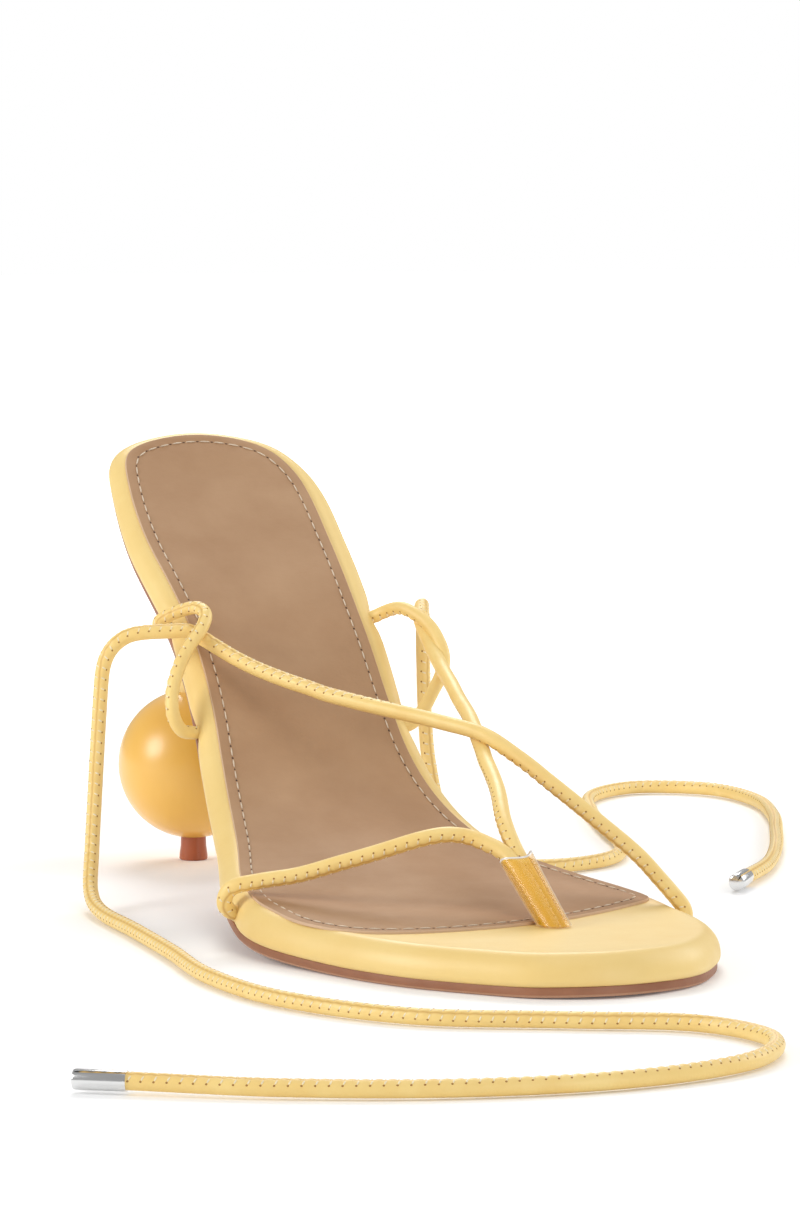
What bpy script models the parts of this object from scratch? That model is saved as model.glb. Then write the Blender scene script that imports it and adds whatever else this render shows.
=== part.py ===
"""Strappy sandal for the right foot, on a ball heel, modelled on its own last.

Sizes are in millimetres and become metres where a mesh is made. A place on the last is given by three
values: across (medial is positive), along (distance over the footbed top, from the heel back to the toes)
and height over the footbed top. In the part's frame the toes point to -Y and medial is +X.
"""
import math
from typing import NamedTuple

import bmesh
import bpy
import numpy as np
from mathutils import Vector

MM = 0.001
GAP = 0.3                   # clearance between pieces that touch

# Driving sizes of the last
LAST_LENGTH = 242.0         # footbed length over its curved top
HEEL_BACK_Y = 102.35        # heel back of the footbed top, in the part's frame
AXIS_X = -2.745             # the last's axis, in the part's frame
LINE_STEP = 0.5             # step of the side profile's summation
RING_PER_ROW = 4            # outline points for each row of the plan
CAP_COLUMNS = (0.25, 0.5, 0.75)


class PlanRow(NamedTuple):
    """Half widths of the footbed at one distance from the heel back."""
    along: float
    lateral: float
    medial: float


PLAN = (
    PlanRow(0.0, 0.0, 0.0),
    PlanRow(8.0, 19.4, 20.0),
    PlanRow(20.0, 24.3, 24.1),
    PlanRow(40.0, 24.9, 23.9),
    PlanRow(70.0, 23.5, 22.2),
    PlanRow(100.0, 25.9, 21.1),
    PlanRow(130.0, 31.2, 25.5),
    PlanRow(155.0, 38.4, 36.1),
    PlanRow(175.0, 40.0, 43.4),
    PlanRow(195.0, 34.2, 44.8),
    PlanRow(215.0, 25.9, 41.2),
    PlanRow(230.0, 14.6, 32.2),
    PlanRow(238.0, 6.4, 22.3),
    PlanRow(LAST_LENGTH, -7.6, 7.6),
)


class ProfileRow(NamedTuple):
    """Downward slope of the footbed top in degrees, and how deep its middle is dished."""
    along: float
    slope: float
    dish: float


PROFILE = (
    ProfileRow(0.0, 34.1, 0.9),
    ProfileRow(45.0, 34.1, 1.2),
    ProfileRow(75.0, 39.0, 1.0),
    ProfileRow(100.0, 46.0, 0.5),
    ProfileRow(125.0, 27.2, 0.0),
    ProfileRow(150.0, 9.9, 0.0),
    ProfileRow(175.0, 5.6, 0.0),
    ProfileRow(205.0, 0.0, 0.0),
    ProfileRow(228.0, 0.0, 0.0),
    ProfileRow(LAST_LENGTH, -4.0, 0.0),
)


class BoardRow(NamedTuple):
    """Thickness of the wrapped footbed board and of the outsole under it."""
    along: float
    board: float
    outsole: float


BOARDS = (
    BoardRow(0.0, 4.4, 1.6),
    BoardRow(130.0, 4.4, 1.6),
    BoardRow(165.0, 5.8, 1.9),
    BoardRow(LAST_LENGTH, 5.8, 1.9),
)


class EdgeRow(NamedTuple):
    """One ring of a plate's edge: inset from its outline, share of its thickness from below."""
    inset: float
    rise: float


FOOTBED_EDGE = (
    EdgeRow(1.0, 0.0),
    EdgeRow(0.25, 0.14),
    EdgeRow(0.0, 0.45),
    EdgeRow(0.45, 0.80),
    EdgeRow(1.4, 0.95),
    EdgeRow(3.0, 1.0),
)
OUTSOLE_EDGE = (EdgeRow(1.5, 0.0), EdgeRow(0.9, 0.25), EdgeRow(0.7, 1.0))
SOCK_EDGE = (EdgeRow(0.0, 0.0), EdgeRow(0.0, 0.6), EdgeRow(0.35, 1.0))

# Tan sock: its border follows the footbed and its front edge runs across behind the toes
SOCK_THICKNESS = 0.8
SOCK_INSET = 3.4
SOCK_SIDE_POINTS = 34
SOCK_FRONT_POINTS = 10


class FrontRow(NamedTuple):
    """A point of the sock's front edge."""
    across: float
    along: float


SOCK_FRONT = (
    FrontRow(-36.6, 172.0),
    FrontRow(-34.4, 188.0),
    FrontRow(-26.0, 200.0),
    FrontRow(-9.0, 203.5),
    FrontRow(11.0, 199.5),
    FrontRow(26.0, 193.0),
    FrontRow(40.6, 184.5),
)


class RouteRow(NamedTuple):
    """A point of a strap's centre line on the last."""
    across: float
    along: float
    height: float


# Straps: rolled leather cord
STRAP_RADIUS = 1.6
LOOP_RADIUS = 1.45
STRAP_STEP = 3.0
STRAP_BEVEL_RESOLUTION = 3

# Toe strap, from its slot in the lateral wall over the toes and down into the toe post
TOE_STRAP = (
    RouteRow(-34.0, 161.0, -3.2),
    RouteRow(-38.6, 161.0, -3.1),
    RouteRow(-41.2, 161.4, -1.2),
    RouteRow(-39.9, 162.2, 2.0),
    RouteRow(-35.4, 164.5, 3.5),
    RouteRow(-28.7, 168.5, 5.4),
    RouteRow(-21.8, 172.5, 8.3),
    RouteRow(-14.8, 176.5, 11.2),
    RouteRow(-7.9, 180.0, 14.0),
    RouteRow(-2.5, 182.0, 15.3),
    RouteRow(2.0, 183.6, 15.5),
    RouteRow(5.2, 186.2, 14.9),
    RouteRow(7.1, 190.4, 12.4),
    RouteRow(8.8, 197.0, 6.4),
    RouteRow(10.6, 204.0, 0.0),
    RouteRow(11.6, 208.0, -3.7),
)
# Medial instep strap, from the toe post to the medial loop
MEDIAL_STRAP = (
    RouteRow(13.8, 208.0, -3.7),
    RouteRow(12.8, 204.0, 0.0),
    RouteRow(11.0, 197.0, 6.4),
    RouteRow(9.4, 190.4, 12.6),
    RouteRow(9.9, 182.0, 16.6),
    RouteRow(13.3, 168.0, 20.3),
    RouteRow(17.1, 152.4, 22.2),
    RouteRow(20.0, 138.2, 22.6),
    RouteRow(23.1, 120.0, 20.6),
    RouteRow(26.5, 101.5, 13.6),
    RouteRow(28.7, 90.0, 7.4),
    RouteRow(29.4, 81.0, 5.0),
    RouteRow(30.4, 72.5, 3.4),
    RouteRow(32.6, 67.5, 1.0),
)
# Lateral instep strap, from its slot in the medial forefoot wall to the lateral loop
LATERAL_STRAP = (
    RouteRow(39.6, 191.0, -3.2),
    RouteRow(44.2, 191.0, -3.1),
    RouteRow(46.7, 190.8, -1.2),
    RouteRow(45.8, 190.0, 2.0),
    RouteRow(42.6, 186.0, 5.6),
    RouteRow(39.6, 180.0, 9.5),
    RouteRow(34.9, 170.2, 14.7),
    RouteRow(29.7, 161.0, 19.2),
    RouteRow(24.4, 151.0, 23.0),
    RouteRow(19.2, 141.0, 25.0),
    RouteRow(13.5, 129.0, 24.0),
    RouteRow(7.9, 118.0, 21.6),
    RouteRow(2.2, 108.2, 18.2),
    RouteRow(-3.5, 99.5, 14.1),
    RouteRow(-7.8, 94.2, 11.0),
    RouteRow(-12.1, 88.5, 8.1),
    RouteRow(-15.8, 83.2, 6.2),
    RouteRow(-19.2, 78.0, 5.0),
    RouteRow(-22.6, 74.4, 4.8),
    RouteRow(-27.0, 73.0, 3.6),
)
# Side loops that the instep straps run through
MEDIAL_LOOP = (
    RouteRow(18.4, 65.0, -2.2),
    RouteRow(22.8, 65.0, -2.0),
    RouteRow(25.2, 66.2, 0.8),
    RouteRow(26.8, 69.0, 4.2),
    RouteRow(28.4, 72.5, 5.7),
    RouteRow(30.1, 76.8, 6.5),
    RouteRow(30.8, 81.8, 6.6),
    RouteRow(30.8, 86.0, 5.8),
    RouteRow(29.6, 89.0, 3.8),
    RouteRow(27.6, 91.5, 2.0),
    RouteRow(25.2, 94.5, 0.2),
    RouteRow(22.0, 97.0, -2.0),
    RouteRow(17.6, 97.0, -2.2),
)
LATERAL_LOOP = (
    RouteRow(-20.6, 94.5, -2.2),
    RouteRow(-25.6, 94.8, -2.1),
    RouteRow(-28.8, 95.0, -1.2),
    RouteRow(-30.4, 92.4, 0.4),
    RouteRow(-29.9, 88.4, 2.0),
    RouteRow(-27.8, 84.0, 4.2),
    RouteRow(-25.0, 80.0, 5.8),
    RouteRow(-22.4, 76.4, 7.0),
    RouteRow(-21.0, 72.6, 7.3),
    RouteRow(-21.2, 69.0, 5.6),
    RouteRow(-23.6, 66.6, 2.8),
    RouteRow(-25.8, 65.6, -0.2),
    RouteRow(-24.0, 65.0, -2.1),
    RouteRow(-19.2, 65.0, -2.2),
)

# Clear sleeve round the two cords of the toe post
SLEEVE_FOOT = RouteRow(11.7, 204.0, 0.0)
SLEEVE_TOP = RouteRow(8.4, 191.4, 11.7)
SLEEVE_HALF_WIDTH = 3.5
SLEEVE_HALF_DEPTH = 2.45
SLEEVE_WALL = 0.5
SLEEVE_SIDES = 20
SLEEVE_STATIONS = 5

# Ball heel
BALL_RADIUS = 16.6
BALL_ACROSS = -1.5
BALL_SET_IN = 6.0           # ball centre, forward of the heel back
BALL_SEGMENTS = 28
TIP_RISE = 4.9              # floor to the lowest point of the whole ball
TIP_FOOT_RADIUS = 3.15
TIP_TOP_RADIUS = 2.8
TIP_SEGMENTS = 24
NECK_RADIUS = 3.9
SEAT_ALONG = 25.0           # middle of the seat block under the footbed


class NeckRow(NamedTuple):
    """A section of the seat block: share of its rise, half width and half length."""
    rise: float
    half_width: float
    half_length: float


NECK = (
    NeckRow(0.0, NECK_RADIUS, NECK_RADIUS),
    NeckRow(0.22, 4.0, 4.3),
    NeckRow(0.45, 5.2, 6.2),
    NeckRow(0.68, 8.0, 10.0),
    NeckRow(0.87, 12.0, 14.6),
    NeckRow(1.0, 16.0, 18.0),
)
NECK_SEGMENTS = 28


class FloorRow(NamedTuple):
    """A point of a tie's centre line in the part's frame."""
    x: float
    y: float
    z: float


# Ankle ties: they leave the loops, hang down and lie on the floor, uncoiled
TIE_RADIUS = 1.6
TIE_STEP = 8.0
TIE_BEVEL_RESOLUTION = 2
TIE_LATERAL = (
    FloorRow(-30.0, 40.4, 56.5),
    FloorRow(-35.1, 42.3, 56.2),
    FloorRow(-38.0, 43.5, 55.4),
    FloorRow(-40.4, 44.4, 53.5),
    FloorRow(-42.0, 45.0, 50.8),
    FloorRow(-42.7, 45.3, 47.6),
    FloorRow(-43.1, 45.3, 43.0),
    FloorRow(-43.8, 44.9, 35.0),
    FloorRow(-45.2, 43.0, 23.0),
    FloorRow(-47.4, 38.6, 11.5),
    FloorRow(-50.6, 30.0, 4.2),
    FloorRow(-53.2, 16.0, 2.0),
    FloorRow(-54.8, -10.0, 1.75),
    FloorRow(-57.4, -40.0, 1.75),
    FloorRow(-60.6, -70.0, 1.75),
    FloorRow(-57.0, -100.0, 1.75),
    FloorRow(-42.0, -126.0, 1.75),
    FloorRow(-18.0, -140.0, 1.75),
    FloorRow(2.0, -152.0, 1.75),
    FloorRow(7.0, -172.0, 1.75),
    FloorRow(-6.0, -190.0, 1.75),
    FloorRow(-32.0, -198.0, 1.75),
    FloorRow(-62.0, -195.0, 1.75),
    FloorRow(-90.0, -184.0, 1.9),
    FloorRow(-112.0, -170.0, 2.2),
)
TIE_MEDIAL = (
    FloorRow(30.0, 46.5, 58.0),
    FloorRow(32.2, 51.5, 58.9),
    FloorRow(33.6, 54.6, 58.7),
    FloorRow(34.8, 57.4, 57.1),
    FloorRow(35.7, 59.3, 54.4),
    FloorRow(36.0, 60.1, 51.0),
    FloorRow(36.2, 60.3, 46.0),
    FloorRow(36.4, 60.0, 36.0),
    FloorRow(36.8, 58.4, 24.0),
    FloorRow(38.6, 55.2, 12.5),
    FloorRow(43.0, 50.4, 5.2),
    FloorRow(51.0, 46.2, 2.3),
    FloorRow(63.0, 44.6, 1.75),
    FloorRow(78.0, 52.0, 1.75),
    FloorRow(89.0, 72.0, 1.75),
    FloorRow(97.0, 98.0, 1.75),
    FloorRow(107.0, 128.0, 1.75),
    FloorRow(119.0, 154.0, 1.75),
    FloorRow(136.0, 166.0, 1.75),
    FloorRow(151.0, 156.0, 1.75),
    FloorRow(152.0, 132.0, 1.75),
    FloorRow(143.0, 104.0, 1.75),
    FloorRow(131.0, 78.0, 1.75),
    FloorRow(118.0, 52.0, 1.75),
    FloorRow(104.0, 28.0, 1.9),
    FloorRow(90.0, 10.0, 2.2),
)
TIE_TIP_RADIUS = 2.1
TIE_TIP_LENGTH = 9.0
TIE_TIP_BEVEL = 0.4
TIE_TIP_SEGMENTS = 20


class Finish(NamedTuple):
    """Colour, roughness and metallic value of a material."""
    name: str
    colour: tuple
    roughness: float
    metallic: float


YELLOW_LEATHER = Finish("yellow_leather", (0.86, 0.62, 0.20, 1.0), 0.5, 0.0)
TAN_LEATHER = Finish("tan_leather", (0.45, 0.28, 0.17, 1.0), 0.45, 0.0)
BROWN_SOLE = Finish("brown_sole", (0.30, 0.12, 0.07, 1.0), 0.55, 0.0)
AMBER_GLOSS = Finish("amber_gloss", (0.80, 0.46, 0.10, 1.0), 0.15, 0.0)
BROWN_TIP = Finish("brown_tip", (0.27, 0.09, 0.06, 1.0), 0.4, 0.0)
CLEAR_PLASTIC = Finish("clear_plastic", (0.92, 0.90, 0.84, 1.0), 0.1, 0.0)
BRIGHT_METAL = Finish("bright_metal", (0.72, 0.72, 0.71, 1.0), 0.2, 1.0)


def column(rows, name):
    """One named column of a table as an array."""
    return np.array([getattr(row, name) for row in rows])


def lookup(rows, name, along):
    """Value of a table's column at a distance along the last, by straight interpolation."""
    return np.interp(along, column(rows, "along"), column(rows, name))


def smooth_curve(points, per_span, closed=False):
    """Points of a smooth curve through given points, a fixed number for each span."""
    knots = np.array(points, dtype=float)
    if closed:
        padded = np.vstack([knots[-1:], knots, knots[:2]])
    else:
        padded = np.vstack([2 * knots[:1] - knots[1:2], knots, 2 * knots[-1:] - knots[-2:-1]])
    chords = np.linalg.norm(np.diff(padded, axis=0), axis=1)
    places = np.concatenate([[0.0], np.cumsum(chords)])
    tangents = (padded[2:] - padded[:-2]) / (places[2:] - places[:-2])[:, None]
    curve = []
    for span in range(len(padded) - 3):
        start, end = padded[span + 1], padded[span + 2]
        reach = chords[span + 1]
        for step in range(per_span):
            s = step / per_span
            curve.append(
                (2 * s**3 - 3 * s**2 + 1) * start
                + (s**3 - 2 * s**2 + s) * reach * tangents[span]
                + (3 * s**2 - 2 * s**3) * end
                + (s**3 - s**2) * reach * tangents[span + 1]
            )
    if not closed:
        curve.append(knots[-1])
    return np.array(curve)


def even_points(points, step):
    """The same line with its points about one step apart."""
    lengths = np.linalg.norm(np.diff(points, axis=0), axis=1)
    places = np.concatenate([[0.0], np.cumsum(lengths)])
    count = max(2, round(places[-1] / step) + 1)
    wanted = np.linspace(0.0, places[-1], count)
    return np.stack([np.interp(wanted, places, points[:, axis]) for axis in range(points.shape[1])], axis=1)


def side_profile():
    """Distance, y and z of the footbed top's middle line, summed up from its slopes."""
    along = np.arange(0.0, LAST_LENGTH + LINE_STEP / 2, LINE_STEP)
    middle = np.radians(lookup(PROFILE, "slope", (along[1:] + along[:-1]) / 2))
    y = HEEL_BACK_Y - np.concatenate([[0.0], np.cumsum(np.cos(middle) * LINE_STEP)])
    z = -np.concatenate([[0.0], np.cumsum(np.sin(middle) * LINE_STEP)])
    floor_to_top = GAP + BOARDS[-1].board + BOARDS[-1].outsole
    return along, y, z - z.min() + floor_to_top


LINE_ALONG, LINE_Y, LINE_Z = side_profile()


def plan_outline():
    """Closed outline of the footbed as (across, along): up the lateral side and down the medial."""
    lateral = [(-row.lateral, row.along) for row in PLAN]
    medial = [(row.medial, row.along) for row in PLAN[-2:0:-1]]
    return smooth_curve(lateral + medial, RING_PER_ROW, closed=True)


def inset_outline(outline, distance):
    """An outline moved inwards in the plane of the pattern."""
    run = np.roll(outline, -1, axis=0) - np.roll(outline, 1, axis=0)
    normal = np.stack([run[:, 1], -run[:, 0]], axis=1)
    normal /= np.linalg.norm(normal, axis=1)[:, None]
    return outline + normal * distance


def dish_at(across, along):
    """How far the dished footbed lies under its edges at a place."""
    side = "medial" if across > 0 else "lateral"
    half = max(float(lookup(PLAN, side, along)), 1.0)
    share = min(1.0, abs(across) / half)
    return float(lookup(PROFILE, "dish", along)) * (1.0 - share**2)


def on_last(across, along, height):
    """Place in the part's frame, in metres, of a point given on the last."""
    slope = math.radians(float(lookup(PROFILE, "slope", along)))
    rise = height - dish_at(across, along)
    y = float(np.interp(along, LINE_ALONG, LINE_Y)) - math.sin(slope) * rise
    z = float(np.interp(along, LINE_ALONG, LINE_Z)) + math.cos(slope) * rise
    return Vector((AXIS_X + across, y, z)) * MM


def material(finish):
    """Principled material of a finish, made once."""
    found = bpy.data.materials.get(finish.name)
    if found:
        return found
    made = bpy.data.materials.new(finish.name)
    made.use_nodes = True
    shader = made.node_tree.nodes["Principled BSDF"]
    shader.inputs["Base Color"].default_value = finish.colour
    shader.inputs["Roughness"].default_value = finish.roughness
    shader.inputs["Metallic"].default_value = finish.metallic
    return made


def add_object(name, data, finish=None):
    """New object of the scene with its material."""
    made = bpy.data.objects.new(name, data)
    bpy.context.scene.collection.objects.link(made)
    if finish:
        data.materials.append(material(finish))
    return made


def mesh_object(name, work, finish=None):
    """Object from a bmesh, with its faces turned out and shaded smooth."""
    bmesh.ops.recalc_face_normals(work, faces=work.faces)
    mesh = bpy.data.meshes.new(name)
    work.to_mesh(mesh)
    work.free()
    mesh.shade_smooth()
    mesh.set_sharp_from_angle(angle=math.radians(40.0))
    return add_object(name, mesh, finish)


def bridge_rings(work, low, high):
    """Faces between two rings with the same number of points."""
    count = len(low)
    for i in range(count):
        j = (i + 1) % count
        work.faces.new((low[i], low[j], high[j], high[i]))


def plate_cap(work, ring, places, height):
    """Face strips across a plate from its lateral to its medial side, on the last's surface."""
    count = len(ring)
    half = count // 2
    rows = []
    for i in range(1, half):
        lateral, medial = places[i], places[count - i]
        row = [ring[i]]
        for share in CAP_COLUMNS:
            across, along = lateral + (medial - lateral) * share
            row.append(work.verts.new(on_last(across, along, height(along))))
        row.append(ring[count - i])
        rows.append(row)
    for near, far in zip(rows, rows[1:]):
        for k in range(len(near) - 1):
            work.faces.new((near[k], near[k + 1], far[k + 1], far[k]))
    for end, row in ((ring[0], rows[0]), (ring[half], rows[-1])):
        for k in range(len(row) - 1):
            work.faces.new((end, row[k], row[k + 1]))


def plate(name, outline, edge, bottom, thickness, finish):
    """Plate on the last: rings up its edge, closed below and above by strips."""
    work = bmesh.new()
    rings, places, heights = [], [], []
    for step in edge:
        place = inset_outline(outline, step.inset)

        def height(along, rise=step.rise):
            return bottom(along) + thickness(along) * rise

        rings.append([work.verts.new(on_last(x, along, height(along))) for x, along in place])
        places.append(place)
        heights.append(height)
    for low, high in zip(rings, rings[1:]):
        bridge_rings(work, low, high)
    plate_cap(work, rings[0], places[0], heights[0])
    plate_cap(work, rings[-1], places[-1], heights[-1])
    return mesh_object(name, work, finish)


def board_height(along):
    """Thickness of the footbed board."""
    return float(lookup(BOARDS, "board", along))


def outsole_height(along):
    """Thickness of the outsole."""
    return float(lookup(BOARDS, "outsole", along))


def outsole_bottom(along):
    """Height of the outsole's underside, under the footbed top."""
    return -board_height(along) - GAP - outsole_height(along)


def sock_outline():
    """Closed outline of the sock: its border inside the footbed's and its own front edge."""
    border = inset_outline(plan_outline(), SOCK_INSET)
    half = len(border) // 2
    lateral_side = border[:half + 1]
    medial_side = np.vstack([border[:1], border[:half - 1:-1]])
    front = smooth_curve(SOCK_FRONT, RING_PER_ROW)
    middle = len(front) // 2
    halves = []
    for side, edge in ((lateral_side, front[:middle + 1]), (medial_side, front[:middle - 1:-1])):
        kept = side[side[:, 1] < edge[0][1] - 1.0]
        run = even_points(np.vstack([kept, edge[:1]]), 1.0)
        stations = np.linspace(0.0, len(run) - 1.0, SOCK_SIDE_POINTS)
        run = np.stack([np.interp(stations, np.arange(len(run)), run[:, k]) for k in (0, 1)], axis=1)
        reach = np.linalg.norm(np.diff(edge, axis=0), axis=1).sum()
        across_front = even_points(edge, reach / SOCK_FRONT_POINTS)
        halves.append(np.vstack([run, across_front[1:]]))
    return np.vstack([halves[0], halves[1][-2:0:-1]])


def strap_line(route, step=STRAP_STEP):
    """Centre line of a strap in the part's frame, in metres."""
    smooth = even_points(smooth_curve(route, 12), step)
    return [on_last(*point) for point in smooth]


def cord_curve(name, points, radius, resolution):
    """Round cord along points, as a curve with closed ends."""
    curve = bpy.data.curves.new(name, "CURVE")
    curve.dimensions = "3D"
    curve.bevel_depth = radius * MM
    curve.bevel_resolution = resolution
    curve.use_fill_caps = True
    spline = curve.splines.new("POLY")
    spline.points.add(len(points) - 1)
    for target, point in zip(spline.points, points):
        target.co = (*point, 1.0)
    return curve


def cord_mesh(name, points, radius, finish=None):
    """Round cord along points, as a mesh object that a Boolean can join or cut with."""
    curve = cord_curve(name, points, radius, STRAP_BEVEL_RESOLUTION)
    guide = add_object(name, curve)
    mesh = bpy.data.meshes.new_from_object(guide)
    bpy.data.objects.remove(guide)
    bpy.data.curves.remove(curve)
    work = bmesh.new()
    work.from_mesh(mesh)
    bpy.data.meshes.remove(mesh)
    bmesh.ops.remove_doubles(work, verts=work.verts, dist=1e-6)
    return mesh_object(name, work, finish)


def longer(points, distance):
    """The same line with both ends moved outwards."""
    first = points[0] + (points[0] - points[1]).normalized() * distance * MM
    last = points[-1] + (points[-1] - points[-2]).normalized() * distance * MM
    return [first, *points[1:-1], last]


def as_guide(made):
    """Mark an object as a cutter or guide that is no piece of the shoe."""
    made.hide_render = True
    made.display_type = "WIRE"
    return made


def boolean(target, other, operation):
    """Exact Boolean of a target with a guide object."""
    step = target.modifiers.new(f"{operation.lower()}_{other.name}", "BOOLEAN")
    step.operation = operation
    step.solver = "EXACT"
    step.object = other


class Strap(NamedTuple):
    """A strap of the upper: its name, route and cord radius."""
    name: str
    route: tuple
    radius: float


STRAPS = (
    Strap("toe_strap", TOE_STRAP, STRAP_RADIUS),
    Strap("medial_strap", MEDIAL_STRAP, STRAP_RADIUS),
    Strap("lateral_strap", LATERAL_STRAP, STRAP_RADIUS),
    Strap("medial_loop", MEDIAL_LOOP, LOOP_RADIUS),
    Strap("lateral_loop", LATERAL_LOOP, LOOP_RADIUS),
)


def build_upper():
    """The straps and loops, joined where they cross and at the toe post."""
    first = STRAPS[0]
    upper = cord_mesh("upper_straps", strap_line(first.route), first.radius, YELLOW_LEATHER)
    for strap in STRAPS[1:]:
        part = as_guide(cord_mesh(f"guide_{strap.name}", strap_line(strap.route), strap.radius))
        boolean(upper, part, "UNION")
    return upper


def build_boards():
    """Outsole, wrapped footbed with its strap slots, and sock."""
    outline = plan_outline()
    plate("outsole", outline, OUTSOLE_EDGE, outsole_bottom, outsole_height, BROWN_SOLE)
    footbed = plate("footbed", outline, FOOTBED_EDGE, lambda along: -board_height(along), board_height,
                    YELLOW_LEATHER)
    for strap in STRAPS:
        line = longer(strap_line(strap.route), GAP)
        cutter = as_guide(cord_mesh(f"slot_{strap.name}", line, strap.radius + GAP))
        boolean(footbed, cutter, "DIFFERENCE")
    plate("insole_sock", sock_outline(), SOCK_EDGE, lambda along: GAP, lambda along: SOCK_THICKNESS,
          TAN_LEATHER)


def build_sleeve():
    """Clear oval tube round the toe post, cut level with the footbed at its foot."""
    foot, top = np.array(SLEEVE_FOOT), np.array(SLEEVE_TOP)
    axis = (top - foot) / np.linalg.norm(top - foot)
    wide = np.array([1.0, 0.0, 0.0])
    wide = wide - axis * wide.dot(axis)
    wide /= np.linalg.norm(wide)
    deep = np.cross(axis, wide)
    work = bmesh.new()
    walls = []
    for wall in (0.0, SLEEVE_WALL):
        rings = []
        for station in range(SLEEVE_STATIONS):
            share = station / (SLEEVE_STATIONS - 1)
            ring = []
            for side in range(SLEEVE_SIDES):
                turn = 2 * math.pi * side / SLEEVE_SIDES
                offset = (wide * (SLEEVE_HALF_WIDTH - wall) * math.cos(turn)
                          + deep * (SLEEVE_HALF_DEPTH - wall) * math.sin(turn))
                upper_point = top + offset
                lower_point = foot + offset
                lower_point = lower_point + axis * (GAP - lower_point[2]) / axis[2]
                ring.append(work.verts.new(on_last(*(lower_point + (upper_point - lower_point) * share))))
            rings.append(ring)
        for low, high in zip(rings, rings[1:]):
            bridge_rings(work, low, high)
        walls.append(rings)
    bridge_rings(work, walls[0][0], walls[1][0])
    bridge_rings(work, walls[0][-1], walls[1][-1])
    mesh_object("toe_post_sleeve", work, CLEAR_PLASTIC)


def ball_centre():
    """Centre of the heel ball in the part's frame, in millimetres."""
    return np.array([AXIS_X + BALL_ACROSS, HEEL_BACK_Y - BALL_SET_IN, TIP_RISE + BALL_RADIUS])


def flat_reach(radius):
    """Distance from the ball's centre to a flat of the given radius."""
    return math.sqrt(BALL_RADIUS**2 - radius**2)


def build_ball():
    """Ball with a flat for the neck above and one for the tip below."""
    centre = Vector(ball_centre()) * MM
    work = bmesh.new()
    bmesh.ops.create_uvsphere(work, u_segments=BALL_SEGMENTS, v_segments=BALL_SEGMENTS // 2,
                              radius=BALL_RADIUS * MM)
    bmesh.ops.translate(work, verts=work.verts, vec=centre)
    for direction, radius in ((1.0, NECK_RADIUS), (-1.0, TIP_TOP_RADIUS)):
        level = centre + Vector((0.0, 0.0, direction * flat_reach(radius) * MM))
        everything = [*work.verts, *work.edges, *work.faces]
        cut = bmesh.ops.bisect_plane(work, geom=everything, plane_co=level,
                                     plane_no=(0.0, 0.0, direction), clear_outer=True)
        rim = [item for item in cut["geom_cut"] if isinstance(item, bmesh.types.BMEdge)]
        bmesh.ops.edgeloop_fill(work, edges=rim)
    mesh_object("heel_ball", work, AMBER_GLOSS)


def build_tip():
    """Small flared foot under the ball, flat on the floor."""
    centre = ball_centre()
    height = centre[2] - flat_reach(TIP_TOP_RADIUS) - GAP
    work = bmesh.new()
    bmesh.ops.create_cone(work, cap_ends=True, segments=TIP_SEGMENTS, radius1=TIP_FOOT_RADIUS * MM,
                          radius2=TIP_TOP_RADIUS * MM, depth=height * MM)
    middle = Vector((centre[0], centre[1], height / 2)) * MM
    bmesh.ops.translate(work, verts=work.verts, vec=middle)
    mesh_object("heel_tip", work, BROWN_TIP)


def build_seat_block():
    """Seat under the outsole that narrows into the neck on the ball."""
    centre = ball_centre()
    low = np.array([centre[0], centre[1], centre[2] + flat_reach(NECK_RADIUS) + GAP]) * MM
    under = outsole_bottom(SEAT_ALONG) - GAP
    high = np.array(on_last(0.0, SEAT_ALONG, under))
    slope = math.radians(float(lookup(PROFILE, "slope", SEAT_ALONG)))
    level_back = np.array([0.0, 1.0, 0.0])
    slope_back = np.array([0.0, math.cos(slope), math.sin(slope)])
    work = bmesh.new()
    rings = []
    for row in NECK:
        middle = low + (high - low) * row.rise
        back = level_back + (slope_back - level_back) * row.rise
        ring = []
        for side in range(NECK_SEGMENTS):
            turn = 2 * math.pi * side / NECK_SEGMENTS
            across = row.half_width * math.cos(turn)
            length = row.half_length * math.sin(turn)
            if row is NECK[-1]:
                place = on_last(across, SEAT_ALONG - length, under)
            else:
                place = middle + (np.array([across, 0.0, 0.0]) + back * length) * MM
            ring.append(work.verts.new(place))
        rings.append(ring)
    for near, far in zip(rings, rings[1:]):
        bridge_rings(work, near, far)
    work.faces.new(rings[0])
    hub = work.verts.new(high)
    for i in range(NECK_SEGMENTS):
        work.faces.new((rings[-1][i], rings[-1][(i + 1) % NECK_SEGMENTS], hub))
    mesh_object("heel_seat_block", work, YELLOW_LEATHER)


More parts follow.
